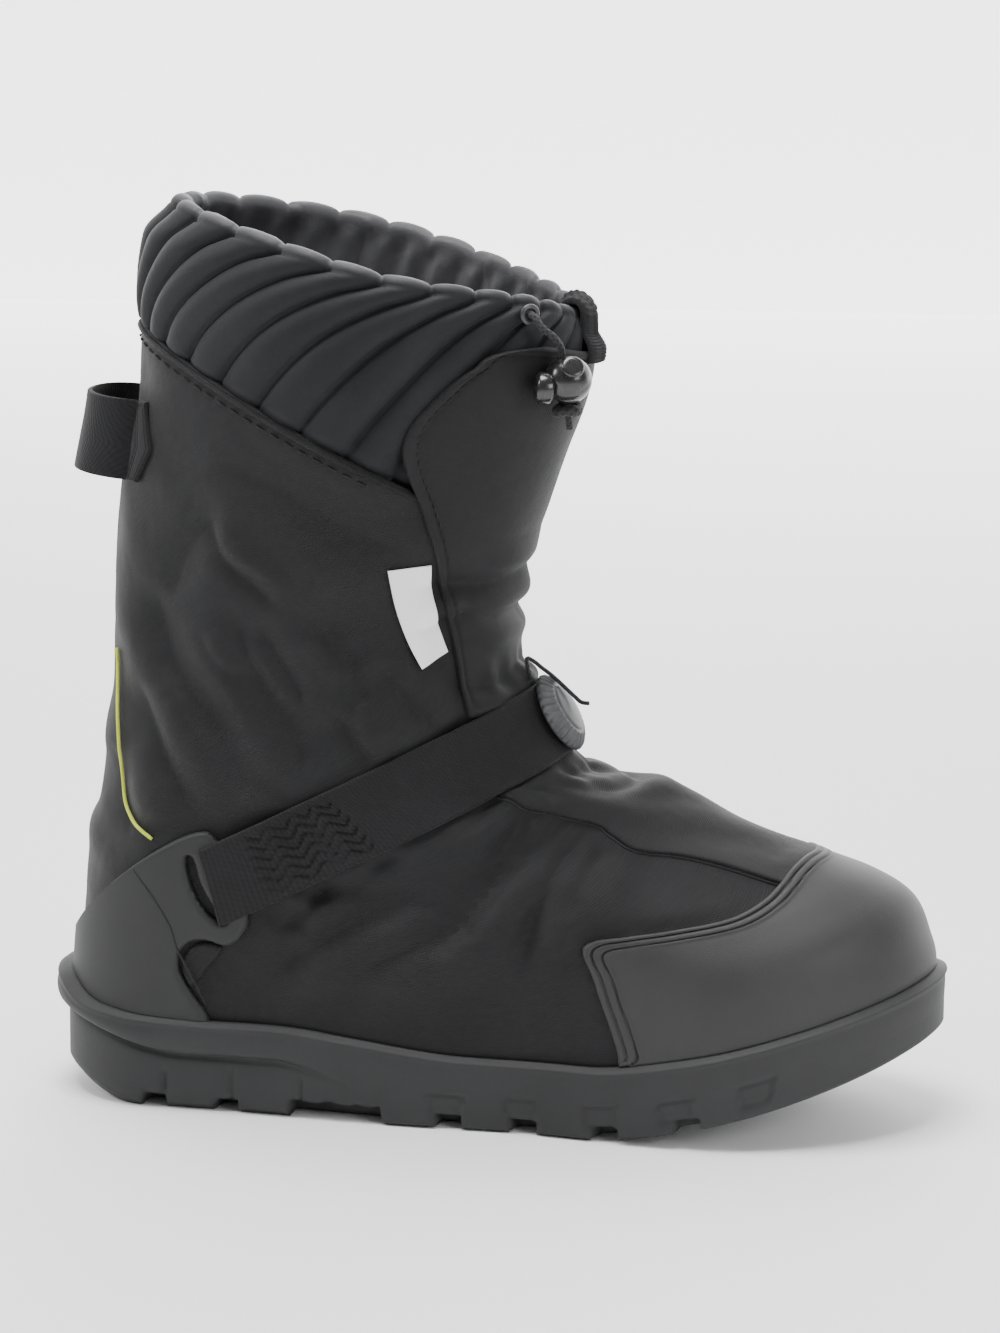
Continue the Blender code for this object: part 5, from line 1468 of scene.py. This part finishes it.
def on_side(points, count=80):
    """A smooth line of u and v on the outer side through points given from the side in mm."""
    outer = (GRID_U > .005) & (GRID_U < .495) & (GRID_V < .6)
    places = []
    for x, z in points:
        miss = np.hypot(grid_point[..., 0] - x / 1000, grid_point[..., 2] - z / 1000) + ~outer
        spot = np.unravel_index(np.argmin(miss), miss.shape)
        places.append((GRID_U[spot], GRID_V[spot]))
    return smooth_path(places, count)


place = on_side(COUNTER_GROOVE_SHADE)
# Painted shade: a thin dark tube lies in the moulded groove on each side.
for where, side in SIDES:
    line = lifted(side * place[:, 0] % 1, place[:, 1], SEAT + COUNTER_THICKNESS + .0003)
    wear(tube_along("counter_groove_shade_" + where, thread, line, .00042, 6), "sole_rubber")

# %% Reflective piping on the back panel
PIPING_PATH = ((.0645, .576), (.0751, .5211), (.0815, .470), (.0850, .4178), (.0866, .386), (.0895, .370),
               (.0990, .344), (.1190, .305))
PIPING_RADIUS = .0007
for name, node, side in (("piping_line_outer", "piping_outer", 1), ("piping_line_inner", "piping_inner", -1)):
    line = smooth_path(PIPING_PATH, 110)
    tube = tube_along(name, piping_cloth, skin(side * line[:, 0] % 1, line[:, 1], SEAT + PIPING_RADIUS * .6),
                      PIPING_RADIUS, 8)
    wear(tube, "yellow_piping", node)

# %% [markdown]
# ## Cords, lock, eyelet and buckle
# The drawcord comes out of the collar's eyelet, goes down through a ball lock and ends in a knot with a
# short tail. The photograph shows it from end to end, so its length there is its real length. A thin
# cord makes a hairpin on the strap's dial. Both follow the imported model's own route points.

# %% Places and routes
BUCKLE_LENGTH, BUCKLE_WIDTH, BUCKLE_HEIGHT, BUCKLE_CORD_RADIUS = .031, .026, .0085, .0008
EYELET_RADIUS, EYELET_WIRE, CORD_RADIUS, LOCK_RADIUS = .0029, .0009, .0013, .0088
BUTTON_RADIUS, BUTTON_HEIGHT, KNOT_WIRE = .0042, .0022, .0020
BUCKLE_PLACE, EYELET_PLACE, LOCK_PLACE = (.492, .489), (.3928, .9643), (.4204, .8900)
LOCK_LEAN = radians(17)
LOCK_AXIS = np.array((-sin(LOCK_LEAN), cos(LOCK_LEAN), 0))
BUTTON_AXIS = np.array((-.42, .60, .68))
CORD_RISE = ((-1.22, 2.02, -.62), (-.86, 1.74, -.30))
CORD_SHARES = (1.30, .90, 0, -.90, -1.30, -1.75, -2.25)
BORE_SETBACK, KNOT_SHARE = -.26, -1.36
BUCKLE_CORD_PATH = ((-.19, 1.09, .01), (-.19, 1.21, .045), (-.13, 1.43, .09), (-.05, 1.57, .15),
                    (.03, 1.43, .22), (.07, 1.17, .31), (.08, .98, .39), (.08, .73, .48), (.08, .43, .57),
                    (.08, .16, .65), (.07, -.05, .73), (.05, -.16, .89))


def frame_at(place, lift):
    """The middle, and the axes along the shoe, up it and out of it, at a place on the surface."""
    u, v = place
    out = upper_normal(np.array(u), np.array(v))
    up = upper_point(u, v + .01) - upper_point(u, v - .01)
    along = np.cross(up, out)
    along /= np.linalg.norm(along)
    return lifted(u, v, lift), np.stack([along, np.cross(out, along), out])


def length_of(path):
    return float(np.linalg.norm(np.diff(path, axis=0), axis=1).sum())


lock_middle, lock_axes = frame_at(LOCK_PLACE, SEAT + FLAP_THICKNESS + SEAT + LOCK_RADIUS)


def in_lock(share):
    return lock_middle + np.asarray(share) @ lock_axes * LOCK_RADIUS


def bore_point(share):
    return in_lock(LOCK_AXIS * share + np.array((0, 0, BORE_SETBACK)))

# %% The drawcord
eyelet_low = lifted(*EYELET_PLACE, SEAT)
eyelet_out = upper_normal(*(np.array(share) for share in EYELET_PLACE))
cord_points = [eyelet_low, eyelet_low + eyelet_out * 2.4 * CORD_RADIUS]
cord_points += [in_lock(share) for share in CORD_RISE] + [bore_point(share) for share in CORD_SHARES]
cord_path = smooth_path(cord_points, spacing=CORD_RADIUS, fine_steps=400)
drawcord = wear(tube_along("drawcord_braid", cord_braid, cord_path, CORD_RADIUS, 14), "cord", "drawcord")
print("drawcord length", round(length_of(cord_path) * 1000, 1), "mm")

# %% The knot: one tight turn round the cord
def make_knot():
    """A ring once round the drawcord, swinging twice along it, and thicker in three places."""
    a = np.linspace(0, 2 * pi, 73)[:-1]
    middle = bore_point(KNOT_SHARE)
    axis = LOCK_AXIS @ lock_axes
    side = np.cross(axis, lock_axes[2])
    side /= np.linalg.norm(side)
    other = np.cross(axis, side)
    reach = CORD_RADIUS + SEAT + KNOT_WIRE
    path = (middle + reach * (np.outer(np.cos(a), side) + np.outer(np.sin(a), other))
            + np.outer(.0006 * np.sin(2 * a), axis))
    return tube_along("drawcord_knot_turn", cord_braid, path, KNOT_WIRE, 12, ring=True,
                      radii=KNOT_WIRE * (1 + .10 * np.sin(3 * a)))


knot = wear(make_knot(), "cord", "drawcord_knot")

# %% The ball lock and its button
def revolve(name, finish, profile, middle, axis, cols=40):
    """A profile of (radius, height) from the top of the axis to its bottom, turned round the axis."""
    profile = np.asarray(profile, float)
    axis = np.asarray(axis) / np.linalg.norm(axis)
    side = np.cross(axis, (0, 1.0, 0) if abs(axis[1]) < .9 else (1.0, 0, 0))
    side /= np.linalg.norm(side)
    other = np.cross(axis, side)
    a = np.arange(cols) * 2 * pi / cols
    ring = np.outer(np.cos(a), side) + np.outer(np.sin(a), other)
    points = middle + profile[:, 0, None, None] * ring[None] + profile[:, 1, None, None] * axis
    faces, corner_rows, corner_cols = quads(len(profile), cols, ring_cols=True)
    walked = np.concatenate([[0], np.cumsum(np.hypot(*np.diff(profile, axis=0).T))])
    uv = np.stack([corner_cols * (2 * pi * profile[:, 0].max() / cols), walked[corner_rows]], -1)
    piece = new_piece(name, points, faces, finish, uv)
    clean(piece, 1e-6)
    return piece


button_axis = BUTTON_AXIS @ lock_axes / np.linalg.norm(BUTTON_AXIS)
angles = np.linspace(0, pi, 33)
ball_profile = np.stack([LOCK_RADIUS * np.sin(angles), LOCK_RADIUS * np.cos(angles)], 1)
seam = .00035 * np.exp(-((angles - 1.05) / .05)**2)
ball_profile *= (1 - seam / LOCK_RADIUS)[:, None]
ball = revolve("lock_ball", black_plastic, ball_profile, lock_middle, button_axis, 48)
bore_ends = np.stack([bore_point(1.3), bore_point(-1.3)])
carve(ball, tube_along("lock_bore", black_plastic, bore_ends, CORD_RADIUS + SEAT, 20), "DIFFERENCE")
smooth_up_to(ball, 40)
wear(ball, "black_plastic", "cord_lock")

button_profile = np.array(((0, 1), (.55, 1), (.82, .97), (.96, .84), (1, .6), (1, .2), (.97, .04),
                           (.9, 0), (0, 0)))
button = revolve("lock_push_button", black_plastic, button_profile * (BUTTON_RADIUS, BUTTON_HEIGHT),
                 lock_middle + button_axis * (LOCK_RADIUS + FIT), button_axis, 32)
wear(button, "black_plastic", "lock_button")

lug_profile = np.array(((0, 1), (.7, 1), (.92, .86), (1, .6), (1, -.6), (.92, -.86), (.7, -1), (0, -1)))
lug = revolve("lock_rear_lug", black_plastic, lug_profile * (.0058, .0034), in_lock((-.98, -.42, -.28)),
              lock_axes[0] * .85 + lock_axes[2] * .5, 32)
wear(lug, "black_plastic")

# %% The eyelet, a ring of slightly flattened section
def make_eyelet():
    middle, axes = frame_at(EYELET_PLACE, SEAT + EYELET_WIRE)
    ring = np.array([(EYELET_RADIUS + EYELET_WIRE * cos(a) * 1.15, EYELET_WIRE * sin(a) * .9)
                     for a in np.linspace(0, 2 * pi, 17)[:-1]])
    a = np.arange(40) * 2 * pi / 40
    around = np.outer(np.cos(a), axes[0]) + np.outer(np.sin(a), axes[1])
    points = middle + ring[:, 0, None, None] * around[None] + ring[:, 1, None, None] * axes[2]
    faces, corner_rows, corner_cols = quads(16, 40, True, True)
    piece = new_piece("eyelet_ring", points, faces, eyelet_plastic,
                      np.stack([corner_cols * .0005, corner_rows * .0004], -1))
    clean(piece)
    return piece


wear(make_eyelet(), "black_plastic", "drawcord_eyelet")

# %% The strap's dial buckle
STRAP_TOP = SEAT + FLAP_THICKNESS + SEAT + STRAP_THICKNESS
buckle_middle, buckle_axes = frame_at(BUCKLE_PLACE, STRAP_TOP + SEAT)
#  radius in shares of half BUCKLE_LENGTH, height in shares of BUCKLE_HEIGHT
BUCKLE_PROFILE = ((0, .93), (.14, .93), (.46, .86), (.60, .80), (.64, .72), (.68, .74), (.80, .62),
                  (.90, .48), (.97, .34), (1, .20), (.985, .06), (.93, .0), (.80, .0), (0, .0))


def make_buckle():
    """An oval dial: grip ridges round its rim, a groove round its face, and a hollowed back."""
    profile = smooth_path(BUCKLE_PROFILE, 60) * (BUCKLE_LENGTH / 2, BUCKLE_HEIGHT)
    profile[0, 0] = profile[-1, 0] = 0
    cols = 180
    a = np.arange(cols) * 2 * pi / cols
    radius, height = profile[:, 0, None], profile[:, 1, None]
    rim = ease(radius, .66 * BUCKLE_LENGTH / 2, .80 * BUCKLE_LENGTH / 2) * ease(height, 0, .0010)
    ridges = .00045 * rim * np.sin(30 * a)[None]
    around = np.cos(a)[None] * (radius + ridges) * BUCKLE_WIDTH / BUCKLE_LENGTH
    upward = np.sin(a)[None] * (radius + ridges)
    back = .0013 * (upward / (BUCKLE_LENGTH / 2)).clip(0, 1)**2 * (1 - height / BUCKLE_HEIGHT)
    points = (buckle_middle + around[..., None] * buckle_axes[0] + upward[..., None] * buckle_axes[1]
              + (height + back + ridges * .5)[..., None] * buckle_axes[2])
    faces, corner_rows, corner_cols = quads(len(profile), cols, ring_cols=True)
    uv = np.stack([corner_cols, corner_rows], -1) * .0005
    piece = new_piece("strap_dial", points, faces, dial_plastic, uv)
    clean(piece, 1e-6)
    return piece


wear(make_buckle(), "grey_plastic", "strap_buckle")

buckle_points = buckle_middle + np.array(BUCKLE_CORD_PATH) @ buckle_axes * BUCKLE_LENGTH / 2
buckle_path = smooth_path(buckle_points, spacing=BUCKLE_CORD_RADIUS, fine_steps=400)
buckle_cord = wear(tube_along("dial_cord", cord_braid, buckle_path, BUCKLE_CORD_RADIUS, 12),
                   "cord", "buckle_cord")
print("dial cord length", round(length_of(buckle_path) * 1000, 1), "mm")

# %% [markdown]
# ## Stitches
# A stitch is a short capsule that dips at both ends. All stitches of one seam are one mesh, worked out
# as one array: middle lines, times stations along a stitch, times corners round it.

# %% Stitch rows
def stitches(name, finish, path, out, length=.0024, gap=.0011, radius=.00032):
    """Capsules along a dense path: out is the outward direction at each of its points."""
    walked = np.concatenate([[0], np.cumsum(np.linalg.norm(np.diff(path, axis=0), axis=1))])
    count = int(walked[-1] // (length + gap))
    starts = np.arange(count) * (length + gap)
    stations = np.array((0, .12, .5, .88, 1)) * length
    at = starts[:, None] + stations[None]
    def read(values):
        return np.stack([np.interp(at, walked, values[:, k]) for k in range(3)], -1)
    middle, normal = read(path), read(out)
    normal /= np.linalg.norm(normal, axis=-1, keepdims=True)
    ahead = middle[:, -1:] - middle[:, :1]
    ahead /= np.linalg.norm(ahead, axis=-1, keepdims=True)
    side = np.cross(np.broadcast_to(ahead, normal.shape), normal)
    side /= np.linalg.norm(side, axis=-1, keepdims=True)
    dip = np.array((-.9, .1, .55, .1, -.9)) * radius
    thick = np.array((.45, .9, 1, .9, .45)) * radius
    a = np.arange(6) * pi / 3
    points = (middle[:, :, None] + normal[:, :, None] * (dip[None, :, None, None] + thick[None, :, None, None]
              * np.sin(a)[None, None, :, None]) + side[:, :, None] * thick[None, :, None, None]
              * np.cos(a)[None, None, :, None])
    face, _, _ = quads(5, 6, ring_cols=True)
    caps = np.array(((0, 1, 2, 3), (0, 3, 4, 5), (27, 26, 25, 24), (29, 28, 27, 24)))
    faces = (np.concatenate([face, caps])[None] + 30 * np.arange(count)[:, None, None]).reshape(-1, 4)
    piece = new_piece(name, points, faces, finish)
    clean(piece)
    return piece


def stitch_line(name, u, v, lift, soft=1.0, **sizes):
    wear(stitches(name, thread, skin(u, v, lift, soft), upper_normal(u, v), **sizes), "nylon")


for number, inset in enumerate(CAP_STITCHES):
    line = cap_border(inset)[24:-24]
    stitch_line("cap_stitches_" + "ab"[number], line[:, 0], line[:, 1], SEAT + CAP_THICKNESS - .0006, 0,
                length=.0022, gap=.0008)

hem_v = np.linspace(.53, .915, 400)
for name, side in (("flap_stitches_outer", 1), ("flap_stitches_inner", -1)):
    hem_u = edge_u(FLAP_EDGE, hem_v) + HEM_INSET / FLAP_SPREAD
    stitch_line(name, hem_u if side > 0 else 1 - hem_u, hem_v, SEAT + FLAP_THICKNESS - .0005)

for name, side in (("collar_stitches_outer", 1), ("collar_stitches_inner", -1)):
    seam_u = np.linspace(.015, .300, 600) * side % 1
    stitch_line(name, seam_u, collar_v(seam_u) - .011, .0003, length=.0042, gap=.0020, radius=.0004)
    # A thin dark tube along the vamp panel's edge: painted shade under that edge.
    seam_v = np.linspace(.212, .436, 400)
    seam_u = edge_u(VAMP_EDGE, seam_v) - .0012
    wear(tube_along(name.replace("collar_stitches", "vamp_edge_shade"), thread,
                    skin(side * seam_u % 1, seam_v, .0002), .00055, 6), "nylon")
